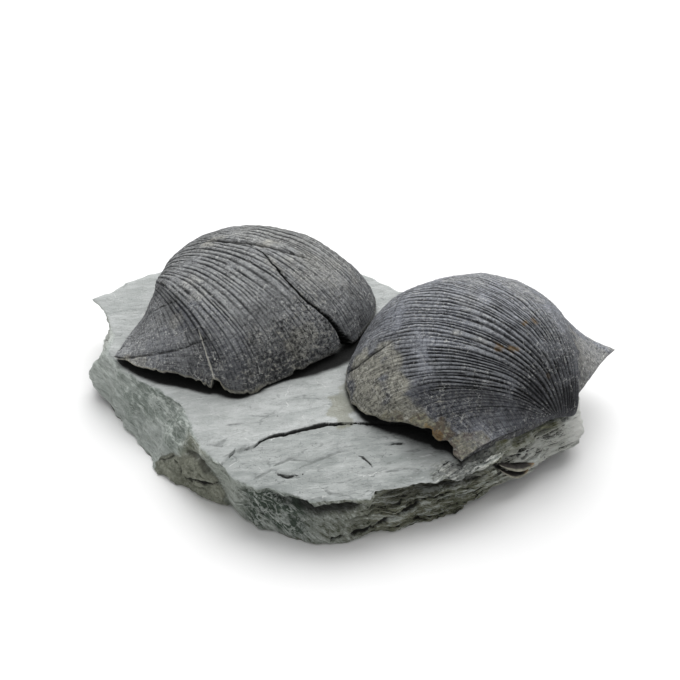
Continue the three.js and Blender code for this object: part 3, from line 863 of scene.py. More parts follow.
# rim of the upper face, anticlockwise from the left rear tip:
# x, y, how far the side stands out at belly height, how far at the foot, height of the foot
rim = [
    (-50, 28.2, -4.5, -7.5, 1.8), (-47.5, 24.6, -2.5, -3.5, 2), (-45.2, 19.1, 1.5, 0.5, 2.6),
    (-44.3, 16, 2.8, 2.6, 3), (-44.4, 13.4, 3.8, 3.4, 2.6), (-44.6, 9, 3.8, 3, 2),
    (-41.3, 3.6, 2, 3, 0), (-37.8, 0.3, 2.6, 3.9, 0), (-33.7, -2.9, 3.5, 5.4, 0),
    (-29.9, -7, 4.4, 6.8, 0), (-27.8, -9.8, 4.5, 7, 0), (-26.9, -13.3, 3.4, 4.5, 0),
    (-26.1, -17.1, 1.6, 1.6, 0), (-24.5, -20.6, 0.4, 0, 0), (-22.3, -23.5, -0.6, -1.4, 0),
    (-20, -26.3, -1, -2.2, 0), (-18.4, -28.7, -1.2, -2.6, 0), (-16.2, -30.5, -1.2, -2.4, 0),
    (-13.8, -32.1, -1, -2, 0), (-11.7, -31.7, -0.4, -0.6, 0), (-8.5, -33, -0.6, 0, 0),
    (-5.3, -34.5, -1.4, -0.4, 0), (1.9, -34.5, -1.2, 0.2, 0), (6.4, -35.1, -2.2, -2.6, 0),
    (7.3, -32.9, -0.6, -0.8, 0), (10.9, -31.6, -0.4, -0.4, 0), (14.7, -30, -0.6, -0.6, 0),
    (18.4, -29.5, -1.4, -1.6, 0), (21.7, -28.4, -1.8, -1.9, 0), (26.1, -26.6, -2, -3.1, 0.3),
    (30, -23.2, -1, -2.6, 1.6), (33.4, -19, 0.8, -0.8, 2.4), (36.6, -16.2, 1.4, 0.4, 3.2),
    (40, -14, 1, -0.6, 3), (42.5, -12, 1.2, -0.8, 3), (45, -10, 1.8, -0.6, 3.2),
    (46, 0, 1.2, -1, 2.2), (42, 12, -0.6, -2.2, 1.2), (34, 22, -1.2, -3.4, 0),
    (24, 29, -1, -3.6, 0), (13.5, 31.3, -0.4, -1.8, 0), (9, 35.5, -0.8, -2.4, 0),
    (5.7, 38.7, -1, -3.2, 0), (-6, 43, -0.8, -3, 0), (-18, 45, -1, -3.2, 0),
    (-28, 43, -0.8, -3, 0), (-36.3, 39.5, -1.4, -3.8, 0), (-40.3, 37.5, -1.8, -4.6, 0),
    (-43.8, 34.4, -2.4, -5.2, 0.2), (-46.6, 30.9, -3.4, -6.2, 1),
]
sheetEdge = [
    (-52, -40), (-21.5, -30), (-20.3, -25), (-19.3, -23.4), (-18.5, -21.8), (-17, -21.2), (-14.8, -20.3),
    (-13.6, -18.2), (-11.5, -17), (-7.7, -15.5), (-4.6, -14.4), (-2, -13.7), (1.6, -13.3), (5.6, -13.1),
    (11.2, -13.3), (14, -13.6), (27, -21), (50, -26),
]
crackOpening = [(-21, 0), (-19, 0.2), (-15, 0.1), (-13.8, 0.5), (-10, 0.9), (-2, 0.9), (8, 0.5), (14, 0.2)]
# shadow between the two fossils on the upper face: x, y and half width
gapShadow = [
    (-10, 0, 0.5), (-6.8, 2.2, 1.6), (-4.1, 3.7, 1.9), (-1, 5.6, 2.1), (1.6, 7.6, 2.3), (5.4, 14, 2.8),
]
# along the rim by station: thickness of the upper sheet, depth and height of the recess under it,
# how layered the side is, and how light it is
sideStyle = [
    (0, 1.4, 0.5, 2, 0.7, 1), (3, 1.2, 0.4, 2, 0.5, 1), (5, 1, 0.1, 2, 0.2, 0.9),
    (7, 1, 0, 2, 0.1, 0.75), (10, 1, 0, 2, 0.1, 0.75), (12, 1, 0, 2, 0.15, 0.45),
    (14, 1, 0.1, 2, 0.3, 0.55), (18, 1, 0.3, 2, 0.2, 0.6), (19.5, 1.1, 0.9, 2.5, 0.15, 0.6),
    (20.5, 1.2, 0.9, 3, 0.1, 0.65), (21, 1, 1.4, 4.2, 0.1, 0.55), (22.3, 1, 1.4, 4, 0.2, 0.5),
    (22.7, 1.2, 0.8, 3, 0.3, 0.5), (24, 1.2, 0.5, 2.4, 0.9, 0.55),
    (26, 0.9, 0.9, 2.6, 1, 0.4), (28.5, 1, 1.6, 3, 1, 0.3), (30, 1.2, 0.9, 2.5, 1, 0.6),
    (31.5, 1.6, 0.6, 2, 1, 1), (33, 1.6, 0.4, 2, 1, 1), (35, 1.6, 0.3, 2, 0.7, 1),
    (50, 1.4, 0.5, 2, 0.8, 0.7),
]
# lines on the upper face: depth, half width and points, first the black ones
blackLines = [
    (0.45, 0.34, [(-10.4, -27.5), (-9.6, -28.2), (-8.2, -28.4), (-5.6, -27.8)]),
    (0.3, 0.28, [(3.9, -22), (5, -22.9), (6.1, -24.2), (6.8, -25.7)]),
    (0.2, 0.3, [(9.1, -19.3), (11.2, -18.8), (13.4, -18.7)]),
]
faintLines = [
    (0.12, 0.3, [(-23.7, -19.6), (-21.5, -20.3), (-19.8, -20.5)]),
    (0.2, 0.35, [(-9.7, -28.9), (-6.2, -28.7)]),
    (0.2, 0.35, [(-1.9, -23.2), (0.6, -21.4), (3.4, -21.3)]),
    (0.2, 0.35, [(-2.6, -31.1), (-0.6, -33.1), (1.5, -33.1)]),
    (0.2, 0.35, [(-10.9, -25.4), (-8.2, -23.2), (-3.5, -24.3)]),
    (0.2, 0.35, [(-6.2, -26), (-3, -23.7), (-1.5, -22.9)]),
    (0.15, 0.35, [(-22, -20.3), (-20.6, -19.4), (-19.6, -17.9)]),
    (0.1, 0.3, [(-15.8, -11.3), (-12.8, -11.5), (-9.7, -11.3)]),
    (0.15, 0.35, [(-14.3, -29.4), (-11.5, -27.1), (-9.8, -26.6)]),
    (0.12, 0.3, [(-20.4, -14.1), (-16.7, -13.5)]),
    (0.15, 0.3, [(8.5, -27.5), (12.4, -26.3), (15.2, -26.4)]),
    (0.15, 0.3, [(12.2, -21.4), (16.2, -20.6)]),
]
# lines on the side: how far they stand out, half width, darkness and points
sideLines = [
    (0.55, 0.9, 0, [(-42.4, 5.2, 10.5), (-39.9, 0.9, 8.2), (-38.3, -1, 7.6), (-38.3, -1.7, 5.1),
                    (-40.6, -1.1, 0.5)]),
    (-0.5, 0.22, 1, [(-26.4, -18.9, 2.9), (-24.7, -21.5, 4.7), (-23, -22.4, 4.7), (-21.8, -23.3, 5.1),
                     (-21, -24.3, 6.3)]),
    (-0.3, 0.25, 0.7, [(-32.4, -12.9, 2.4), (-30.7, -14.4, 3.6), (-29.3, -15.8, 5.4)]),
    (-0.3, 0.4, 0.6, [(-26.6, -17.9, 7.8), (-24.3, -21.1, 9.3), (-22.4, -23.1, 8)]),
    (-0.9, 0.2, 1, [(-0.4, -34.3, 1.2), (1.7, -33.9, 1.9)]),
    (-0.9, 0.32, 1, [(3.2, -33.4, 1.4), (5.9, -32.2, 1.7), (9, -31.6, 3.1), (11.8, -31.2, 4.1),
                     (15.4, -29.5, 4.9)]),
    (-0.5, 0.16, 0.9, [(39.1, -14.4, 8.2), (41.9, -13.2, 7.6)]),
    (-0.5, 0.2, 0.9, [(32.5, -19.9, 8.2), (34.2, -18.8, 7.5)]),
    (-0.4, 0.2, 0.8, [(34.7, -18.8, 6.9), (35.7, -17.7, 6.8)]),
    (-0.8, 0.5, 1, [(30, -22, 7.4), (33, -20, 6), (36.4, -18, 4.6)]),
    (-0.4, 0.2, 0.8, [(-29.8, -15.4, 5), (-28, -16.8, 4.2), (-27.5, -17.5, 2.8), (-25.6, -19, 2.4)]),
    (-0.3, 0.16, 0.7, [(-17, -29.8, 8.2), (-14, -31.4, 6.2), (-12.6, -31.6, 4.4)]),
    (0.35, 0.5, 0, [(-4.4, -33.1, 6.7), (-5.3, -33.4, 4.1), (-2.3, -34, 1.7), (-0.7, -34.6, 0.5)]),
    (-0.5, 0.2, 0.9, [(6, -33.5, 7.5), (8.4, -32.6, 6.6), (12, -31.4, 7.2)]),
    (-0.5, 0.2, 0.9, [(13, -31, 5.6), (17, -29.6, 6.4), (20, -28.8, 6.2)]),
    (-0.5, 0.18, 0.8, [(20, -28.4, 8.4), (23.5, -27, 8.2), (26.5, -25.4, 7.6)]),
    (-0.4, 0.18, 0.8, [(37.2, -16, 9), (39.6, -14.6, 9.2), (42, -13, 9)]),
]
# the brown chunk lies below a broken outline, given as (x, height), and stands out from the slope
chunkOutline = [(-34, -1), (-33, 1.8), (-29.8, 5.3), (-27, 7.6), (-23.7, 9.6), (-22.2, 8.4), (-21, 6.9),
                (-19.6, 4.5), (-19, -1)]
# stations of the rim where marks on the side fade in, are full, are full for the last time and end
sideFades = {
    "facets": (16.3, 17.6, 20.6, 21.4),
    "slopeFacets": (5.5, 7.5, 11.5, 13),
    "darkBand": (23.5, 25, 28.5, 30),
    # stations of the painted light on the right end lobe
    "paintedLight": (33.6, 34.8, 35.6, 36.6),
    "broken": (27.5, 29, 33.8, 34.6),
}
frontFrom = (14.5, 17.5)  # the front side takes over from the left slope between these stations
sideRelief = {
    "plates": 0.5,  # millimetres that each kind stands out, at most
    "splits": 0.9,
    "layers": 0.35,
    "swells": 0.6,
    "fibres": 0.2,
    "facets": 0.5,
    "creases": 0.7,
    "chunk": 0.6,
    "chunkCreases": 0.35,
    "lineShake": 0.15,
}
topRelief = {
    "steps": 0.09,
    "swells": 0.08,
    "streaks": 0.04,
    "crack": 0.8,
    "torn": (0.25, 0.3),
    "lineShake": 0.12,
}


slateMarks = {
    "fibreTurn": (0, 10, -52),  # degrees, along the smooth left slope
    "frontFibreTurn": (0, 42, -8),
    "beddingTurn": (0, 0, 12),
    "stripTurn": (0, 0, 38),  # along the right front edge
}


def fibrous(points, angles, stretch):
    # places turned so that x runs along the fibres, drawn out along them
    turn = np.array(Euler(radians3(angles)).to_matrix())
    return points @ turn / [stretch, 1, 1]


def seenFlat(points):
    # places as they look from in front and above, on a flat sheet
    tilt = math.radians(view["elevation"])
    up = points[..., 1] * math.sin(tilt) + points[..., 2] * math.cos(tilt)
    return np.stack([points[..., 0], up], axis=-1)


def creases(points, size, seed, octaves):
    # sharp ridges near 1 between hollows
    return 1 - 2.4 * np.abs(lumps(points, size, seed, octaves))


def fromSheetEdge(x, y):
    # how far a point lies behind the edge of the rear sheet, in front where negative
    distance, _ = fromLine(np.stack([x, y], axis=-1), sheetEdge)
    behind = y > np.interp(x, [p[0] for p in sheetEdge], [p[1] for p in sheetEdge])
    return np.where(behind, distance, -distance)


def topHeight(x, y):
    # height of the upper face, and how far its nearest black line and faint line are in half widths
    flat = np.stack([x, y, 0 * x], axis=-1)
    behind = fromSheetEdge(x, y) + 0.12 * lumps(flat, 1.5, 61, 3)
    height = slab["top"] - slab["step"] * smoothStep(0.1, -0.1, behind)
    rise = 2.2 * lumps(flat, (8, 4, 1), 65, 3)
    flats = np.floor(rise) + smoothStep(0.75, 1, rise - np.floor(rise))
    relief = topRelief["steps"] * flats + topRelief["swells"] * lumps(flat, 7, 62, 2)
    height += relief + topRelief["streaks"] * lumps(flat, (4, 0.9, 1), 63, 3)
    height += smoothStep(0.5, -1, behind) * (0.12 * lumps(flat, (5, 3, 1), 46, 4) - 0.06)
    opened = listed(crackOpening, x) * np.clip(1 + 0.6 * lumps(flat, 2.2, 66, 2), 0.2, 1.3)
    # the edge of the rear sheet gets a thin black line, painted shade under its step
    blackAway = np.minimum(np.abs(behind + 0.12) / (0.02 + 0.3 * opened), slab["lineReach"])
    faintAway = np.full(x.shape, slab["lineReach"])
    height -= topRelief["crack"] * smoothStep(1, 0.3, blackAway) * smoothStep(0, 0.3, opened)
    torn = smoothStep(3.4, 1.6, fromLine(flat[..., :2], brokenStrip)[0] + 1.2 * lumps(flat, 1.8, 71, 3))
    slips = lumps(fibrous(flat, slateMarks["stripTurn"], 3), 1.3, 67, 3)
    sunk, slipped = topRelief["torn"]
    height -= torn * (sunk + slipped * np.round(2.5 * slips))
    for number, (depth, half, line) in enumerate(blackLines + faintLines):
        distance, along = fromLine(flat[..., :2], line)
        ends = between(0, 0.3, 0.7, 1, along)
        shaken = distance + topRelief["lineShake"] * lumps(flat, 0.9, 64)
        distance = shaken / (half * (0.4 + 0.6 * ends))
        height -= depth * smoothStep(1.6, 0.3, distance)
        if number < len(blackLines):
            blackAway = np.minimum(blackAway, distance)
        else:
            faintAway = np.minimum(faintAway, distance)
    return height, blackAway, faintAway


def insideMargins(x, y):
    # how far a point lies inside the margin of a fossil seen from above, outside where negative
    best = np.full(x.shape, -9.0)
    for margin in footprints:
        line = margin[::9]
        line = np.vstack([line, line[:1]])
        distance, _ = fromLine(np.stack([x, y], axis=-1), line)
        inside = np.zeros(x.shape, bool)
        for (startX, startY), (endX, endY) in zip(line[:-1], line[1:]):
            spans = (startY > y) != (endY > y)
            crossing = startX + (y - startY) * (endX - startX) / (endY - startY + 1e-9)
            inside ^= spans & (x < crossing)
        best = np.maximum(best, np.where(inside, distance, -distance))
    return best


def rimColumns():
    # columns round the rim, with what the tables say there
    table = np.array([*rim, rim[0]], float)
    stations = np.arange(len(table))
    length = np.hypot(*np.diff(table[:, :2], axis=0).T)
    length *= np.where(stations[:-1] < slab["frontEnd"], 1, slab["rearDensity"])
    run = np.r_[0, np.cumsum(length)]
    station = np.interp(np.linspace(0, run[-1], slab["columns"], endpoint=False), run, stations)
    around = {"station": station}
    for k, name in enumerate(("x", "y", "belly", "foot", "footHeight")):
        around[name] = np.interp(station, stations, table[:, k])
    style = np.array(sideStyle, float)
    for k, name in enumerate(("lip", "recess", "recessHeight", "layered", "tone")):
        around[name] = np.interp(station, style[:, 0], style[:, k + 1])
    out = np.stack([around["x"], around["y"]], axis=-1) - slab["centre"]
    around["radius"] = np.linalg.norm(out, axis=-1)
    around["out"] = out / around["radius"][:, None]
    flat = np.stack([around["x"], around["y"], 0 * station], axis=-1)
    around["worn"] = 0.4 * lumps(flat, 3.5, 51, 4) + 0.14 * lumps(flat, 0.9, 47, 2)
    return around


def ringOf(around, offset, z):
    # points beside the rim, moved outwards by an offset
    reach = around["radius"] + offset
    places = slab["centre"] + around["out"] * reach[..., None]
    return np.concatenate([places, np.broadcast_to(z, reach.shape)[..., None]], axis=-1)


def sideFaces(around, topEdge):
    # rows of the broken side from the foot up, with masks for the finish
    x, y, foot, belly = (around[name] for name in ("x", "y", "foot", "belly"))
    station, layered = around["station"], around["layered"]
    low = around["footHeight"] + slab["footBevel"]
    z = low + np.linspace(0, 1, slab["sideRows"])[:, None] * (topEdge - 0.3 - low)
    shaped = foot + (belly - foot) * np.sin(np.clip(z / slab["belly"], 0, 1) * math.pi / 2)
    rise = np.clip((z - slab["belly"]) / (slab["top"] - slab["belly"]), 0, 1)
    offset = np.where(z < slab["belly"], shaped, belly * (1 - rise ** 1.5)) + around["worn"]
    flat = ringOf(around, 0 * z, 0 * z)
    points = ringOf(around, offset, z)

    # broken layers with dark splits between them
    wave = z + 0.7 * lumps(flat, 11, 52) + 0.1 * lumps(flat, 2.4, 53, 2) - 0.05 * x
    layer = np.floor(wave / slab["layer"])
    part = wave / slab["layer"] - layer
    level = layer * 7.3
    plate = lumps(np.stack([x / 3.5 + 0 * z, y / 3.5 + 0 * z, level], axis=-1), 1, 54, 3)
    plate = np.round(plate * 3) / 3
    open_ = smoothStep(0, 0.5, lumps(np.stack([x / 5 + 0 * z, y / 5 + 0 * z, level], axis=-1), 1, 55, 2))
    split = smoothStep(0.34, 0.12, part) * open_
    offset = offset + layered * (sideRelief["plates"] * plate - sideRelief["splits"] * split)
    offset = offset + sideRelief["layers"] * lumps(points, (6, 6, 1.1), 56, 3) * (0.4 + 0.6 * layered)
    smooth = 1 - layered
    front = smoothStep(*frontFrom, station)
    slope = creases(fibrous(points, slateMarks["fibreTurn"], 4), 1.6, 58, 3)
    facets = creases(fibrous(points, slateMarks["frontFibreTurn"], 4), 1.8, 50, 3)
    facets = sideRelief["facets"] * facets * front * smoothStep(-0.5, 3, z)
    swells = sideRelief["swells"] * lumps(points, 8, 57, 2)
    offset = offset + smooth * (swells + sideRelief["fibres"] * slope * (1 - front) + facets)
    offset = offset + (0.4 + 0.6 * smooth) * sideRelief["creases"] * creases(points, (7, 7, 5), 48, 1)
    below = (topEdge - z - around["lip"]) / around["recessHeight"]
    cut = between(0, 0.1, 0.55, 1, below)
    offset = offset - around["recess"] * cut
    # splits between layers are darkened, and the recess under the upper sheet is painted dark as painted
    # shade
    dark = np.maximum(0.85 * layered * split, smoothStep(0.5, 1.2, around["recess"]) * cut * 0.95)

    shake = sideRelief["lineShake"] * lumps(points, 0.9, 59, 2)
    inView = smoothStep(37, 36, station)
    for height, half, darkness, line in sideLines:
        distance, _ = fromLine(seenFlat(points), seenFlat(np.array(line)))
        near = smoothStep(1.7, 0.2, (distance + shake) / half) * inView
        offset = offset + height * near
        dark = np.maximum(dark, darkness * smoothStep(1.3, 0.7, (distance + shake) / half) * inView)
    shake = 0.5 * lumps(points, 2.2, 60, 4)
    band = between(*sideFades["darkBand"], station)
    dark = np.maximum(dark, 0.55 * band * smoothStep(6.2, 7.4, z + 2 * shake) * smoothStep(10.4, 9.8, z))
    depth = listed(chunkOutline, points[..., 0]) - z + shake
    chunk = smoothStep(0, 0.4, depth) * smoothStep(12, 11, np.abs(points[..., 1] + 18))
    offset = offset + sideRelief["chunk"] * chunk
    offset = offset + sideRelief["chunkCreases"] * chunk * creases(points, 2.4, 49, 3)
    dark = np.maximum(dark, 0.5 * chunk * smoothStep(0.9, 0.1, depth))
    facet = between(*sideFades["facets"], station) * between(0.5, 2, 8.8, 10.2, z + shake)
    slopeFacet = between(*sideFades["slopeFacets"], station)
    facet = np.maximum(facet, 0.45 * slopeFacet * smoothStep(5, 8, z + 3 * shake))
    return ringOf(around, offset, z), dark, chunk, facet


def topFace(around, topEdge):
    # rows of the upper face from the rim inwards, with one row on the edge of the rear sheet
    rimPoint = ringOf(around, around["worn"] - 0.18, topEdge)[:, :2]
    middle = np.array(slab["middle"])
    reach = np.linalg.norm(middle - rimPoint, axis=-1)
    probe = np.linspace(0, 1, 400)
    samples = rimPoint[:, None] + (middle - rimPoint)[:, None] * probe[:, None]
    behind = fromSheetEdge(samples[..., 0], samples[..., 1]) > 0
    crossing = probe[behind.argmax(axis=1)]
    usual = slab["stepRow"] / slab["topRows"]
    crossing = np.where(crossing > 0.08, crossing, usual)
    soft = np.ones(9) / 9
    crossing = np.convolve(np.r_[crossing[-4:], crossing, crossing[:4]], soft, "valid")
    close = np.array([-1.1, -0.7, -0.45, -0.25, -0.1, 0.05, 0.25, 0.5, 0.9])  # mm around the edge
    knots = slab["stepRow"] + np.arange(len(close)) - 4
    order = np.arange(slab["topRows"])
    inset = np.stack([
        np.interp(order, [0, 1, *knots, slab["topRows"]], [0, 0.25 / far, *(at + close / far), 1])
        for at, far in zip(crossing, reach)])
    places = rimPoint + (middle - rimPoint) * inset.T[..., None]
    height, blackAway, faintAway = topHeight(places[..., 0], places[..., 1])
    height[0] -= 0.04
    rows = np.concatenate([places, height[..., None]], axis=-1)
    # painted shadow on the upper face under and in front of the fossils, and between them
    inside = insideMargins(places[..., 0], places[..., 1])
    shade = smoothStep(-0.4, 0.5, inside + listed(slab["shadeReach"], places[..., 0]))
    wide = 0.55 * listed(slab["softShade"], places[..., 0])
    shade = np.maximum(shade, wide * smoothStep(slab["softReach"], 0.5, inside))
    gap = np.array(gapShadow)
    away, along = fromLine(places, gap[:, :2])
    half = np.interp(along * (len(gap) - 1), np.arange(len(gap)), gap[:, 2])
    shade = np.maximum(shade, smoothStep(1.3, 0.6, away / half))
    return rows, blackAway, faintAway, shade


slateLook = {
    "top": ink(195, 198, 197),
    "topDark": ink(142, 147, 145),
    "topLight": ink(210, 212, 210),
    "strokes": ink(98, 102, 100),
    "light": ink(222, 224, 217),
    # ink of the painted light on the right end lobe
    "paintedLight": ink(240, 241, 236),
    "grey": ink(196, 197, 176),
    "deep": ink(92, 95, 76),
    "blue": ink(214, 221, 218),
    "slopeDark": ink(160, 170, 164),
    "green": ink(74, 88, 76),
    "fibre": ink(226, 232, 226),
    "stain": ink(136, 135, 114),
    "olive": ink(96, 98, 62),
    "brown": ink(176, 178, 162),
    "brownDark": ink(104, 107, 94),
    "crack": ink(12, 12, 11),
    "scratch": ink(225, 226, 224),
}
# stains on the upper face: x, y, reach across, reach forward, strength
stains = [(1.2, -8.6, 2.3, 4.6, 0.8), (2.6, -4.5, 2.0, 3, 0.6)]
brokenStrip = [(20, -27.5), (26, -24.5), (30.5, -20.6), (37.6, -15.9), (41.3, -13.2), (44.5, -9)]
oliveEdge = [(30.5, -20.6), (32.8, -18.9), (37.6, -15.9), (41.3, -13.2)]


def slateFinish(look, marks):
    finish, shader, place = startFinish("slateSurface")
    side, front, layered, tone, rear, broken = (
        place.mask(name) for name in ("side", "front", "layered", "tone", "rear", "broken"))
    sand = place.grain(0.35, 4.0, 0.75)
    mottle = place.grain(2.2, 6.0, 0.7).step(0.34, 0.66)
    cloud = place.grain(9, 4.0, 0.6).step(0.35, 0.65)

    # upper face: bedding worn through in thin flat steps
    bedding = place.turned(marks["beddingTurn"], (2.6, 1, 1))
    flats = bedding.grain(3, 6.0, 0.65).terraces(12)
    dashes = bedding.turned((0, 0, 0), (2.4, 1, 1)).grain(0.7, 4.0, 0.7)
    blots = place.grain(1.5, 6.0, 0.75).step(0.44, 0.34) * place.grain(6, 3.0).step(0.45, 0.6)
    scratch = place.shaken(2.5, 1.5).web(9, 0.07) * place.grain(5, 2.0).step(0.56, 0.62)
    # short slopes between the flat steps, which get painted shade
    risers = bedding.grain(3.6, 4.0, 0.55).risers(9) * place.grain(4, 3.0).step(0.46, 0.58)
    stroke = bedding.shaken(2, 0.9).turned((0, 0, 0), (1.8, 1, 1)).web(3.4, 0.09)
    stroke = stroke * place.grain(3, 3.0, 0.7).step(0.5, 0.6)
    tops = flats.step(0.36, 0.62) * 0.45 + mottle * 0.15 + cloud * 0.1
    topColour = painted((tops + rear * 0.35).pick(look["topDark"], look["top"]), look, [
        (dashes.step(0.6, 0.7) * 0.5, "topLight"),
        (dashes.step(0.46, 0.3) * (0.7 - 0.2 * rear), "topDark"),
        (blots * (0.55 - 0.35 * rear), "strokes"),
        (sand.step(0.6, 0.75) * 0.5, "topLight"),
        (sand.step(0.4, 0.25) * 0.5, "topDark"),
        (scratch * 0.7, "scratch"),
        # the short slopes between flat steps painted darker, as painted shade on them
        (risers * 0.7 * (1 - 0.6 * rear), "strokes"),
        (stroke * 0.4, "strokes"),
    ])

    # broken side: layers on the right, fibres on the left
    layers = place.turned((0, 0, 0), (8, 8, 1)).grain(0.6, 6.0, 0.8).step(0.3, 0.7)
    fibres = place.turned(marks["fibreTurn"], (3.5, 1, 1)).grain(0.9, 6.0, 0.75)
    frontFibres = place.turned(marks["frontFibreTurn"], (5, 1, 1)).grain(0.6, 6.0, 0.8)
    streaks = (frontFibres * front + fibres * (1 - front)).step(0.3, 0.7)
    lines = layers * layered + streaks * (1 - layered)
    speckle = place.grain(0.6, 4.0, 0.8)
    speckle = speckle + (place.turned((0, 0, 0), (4, 4, 1)).grain(0.5, 4.0, 0.8) - speckle) * layered
    fine = place.turned(marks["fibreTurn"], (6, 1, 1)).grain(0.45, 4.0, 0.75)
    slope = (cloud * 0.5 + streaks * 0.5).pick(look["slopeDark"], look["blue"])
    slope = (fine.step(0.5, 0.36) * 0.5).pick(slope, look["green"])
    base = tone.step(0.5, 1.0).pick(tone.pick(look["deep"], look["grey"]), look["light"])
    base = (tone.step(0.4, 0.6) * (1 - layered)).pick(base, slope)
    rough = layered.most(front)
    edgeColour = painted(base, look, [
        (cloud * (0.1 + 0.3 * rough) * (1.3 - tone), "deep"),
        (lines.step(0.55, 0.8) * (0.25 + 0.5 * rough), "fibre"),
        (lines.step(0.45, 0.15) * (0.2 + 0.75 * rough - 0.35 * tone), "deep"),
        (lines.step(0.32, 0.18) * (0.1 + 0.8 * layered), "crack"),
    ])

    # dark facets and the brown chunk
    frontPlaces = place.turned(marks["frontFibreTurn"], (4, 1, 1))
    web = frontPlaces.shaken(1.2, 0.5).web(1.7, 0.1) * place.grain(1.5, 3.0).step(0.42, 0.55)
    darkFacet = (streaks.step(0.58, 0.8) * 0.7).pick(look["green"], look["fibre"])
    darkFacet = (web * 0.7).pick(darkFacet, look["fibre"])
    slopePatches = place.turned(marks["fibreTurn"], (5, 1, 1)).grain(0.9, 4.0, 0.7)
    patches = slopePatches + (frontPlaces.grain(2.2, 3.0, 0.5) - slopePatches) * front
    facet = place.mask("facet") * patches.step(0.4, 0.46)
    edgeColour = (facet * 0.92).pick(edgeColour, darkFacet)
    brown = (mottle * 0.5 + speckle.step(0.35, 0.65) * 0.5).pick(look["brownDark"], look["brown"])
    edgeColour = painted((place.mask("brown") * 0.92).pick(edgeColour, brown), look, [
        (speckle.step(0.58, 0.7) * 0.35, "light"),
        (speckle.step(0.42, 0.3) * (0.3 + 0.4 * rough), "deep"),
        # painted light on the right end lobe
        (place.mask("paintedLight") * (0.8 + 0.2 * mottle), "paintedLight"),
    ])

    # both together, then what crosses the rim, and the dark lines
    slits = place.turned(marks["stripTurn"], (6, 1, 1)).grain(0.6, 4.0, 0.7)
    colour = painted(side.pick(topColour, edgeColour), look, [
        (place.mask("stain") * (0.4 + 0.5 * sand), "stain"),
        (broken * (1 - 0.9 * side) * (0.1 + 0.4 * mottle), "brownDark"),
        (broken * (1 - 0.5 * side) * speckle.step(0.47, 0.34) * 0.8, "deep"),
        (broken * slits.step(0.5, 0.6) * 0.85, "light"),
        (broken * slits.step(0.43, 0.37) * 0.95, "crack"),
        (place.mask("olive") * (0.3 + 0.5 * mottle), "olive"),
        (place.mask("dark") * 0.94, "crack"),
        (place.mask("faintAway").step(1.6, 0.4) * (0.25 + 0.5 * mottle), "strokes"),
        # black lines, among them the painted shade along the edge of the rear sheet
        (place.mask("blackAway").step(1.4, 0.7) * 0.94, "crack"),
        # painted shadow under and between the fossils, in the black of the crack ink
        (place.mask("shade") * 0.98, "crack"),
    ])
    relief = (flats * 0.6 + sand * 0.4) * (1 - side) + (lines * 0.6 + speckle * 0.5) * side
    endFinish(shader, place, colour, 0.75 + 0.2 * sand, relief, 0.75)
    shader.inputs["Specular IOR Level"].default_value = 0.25
    return finish


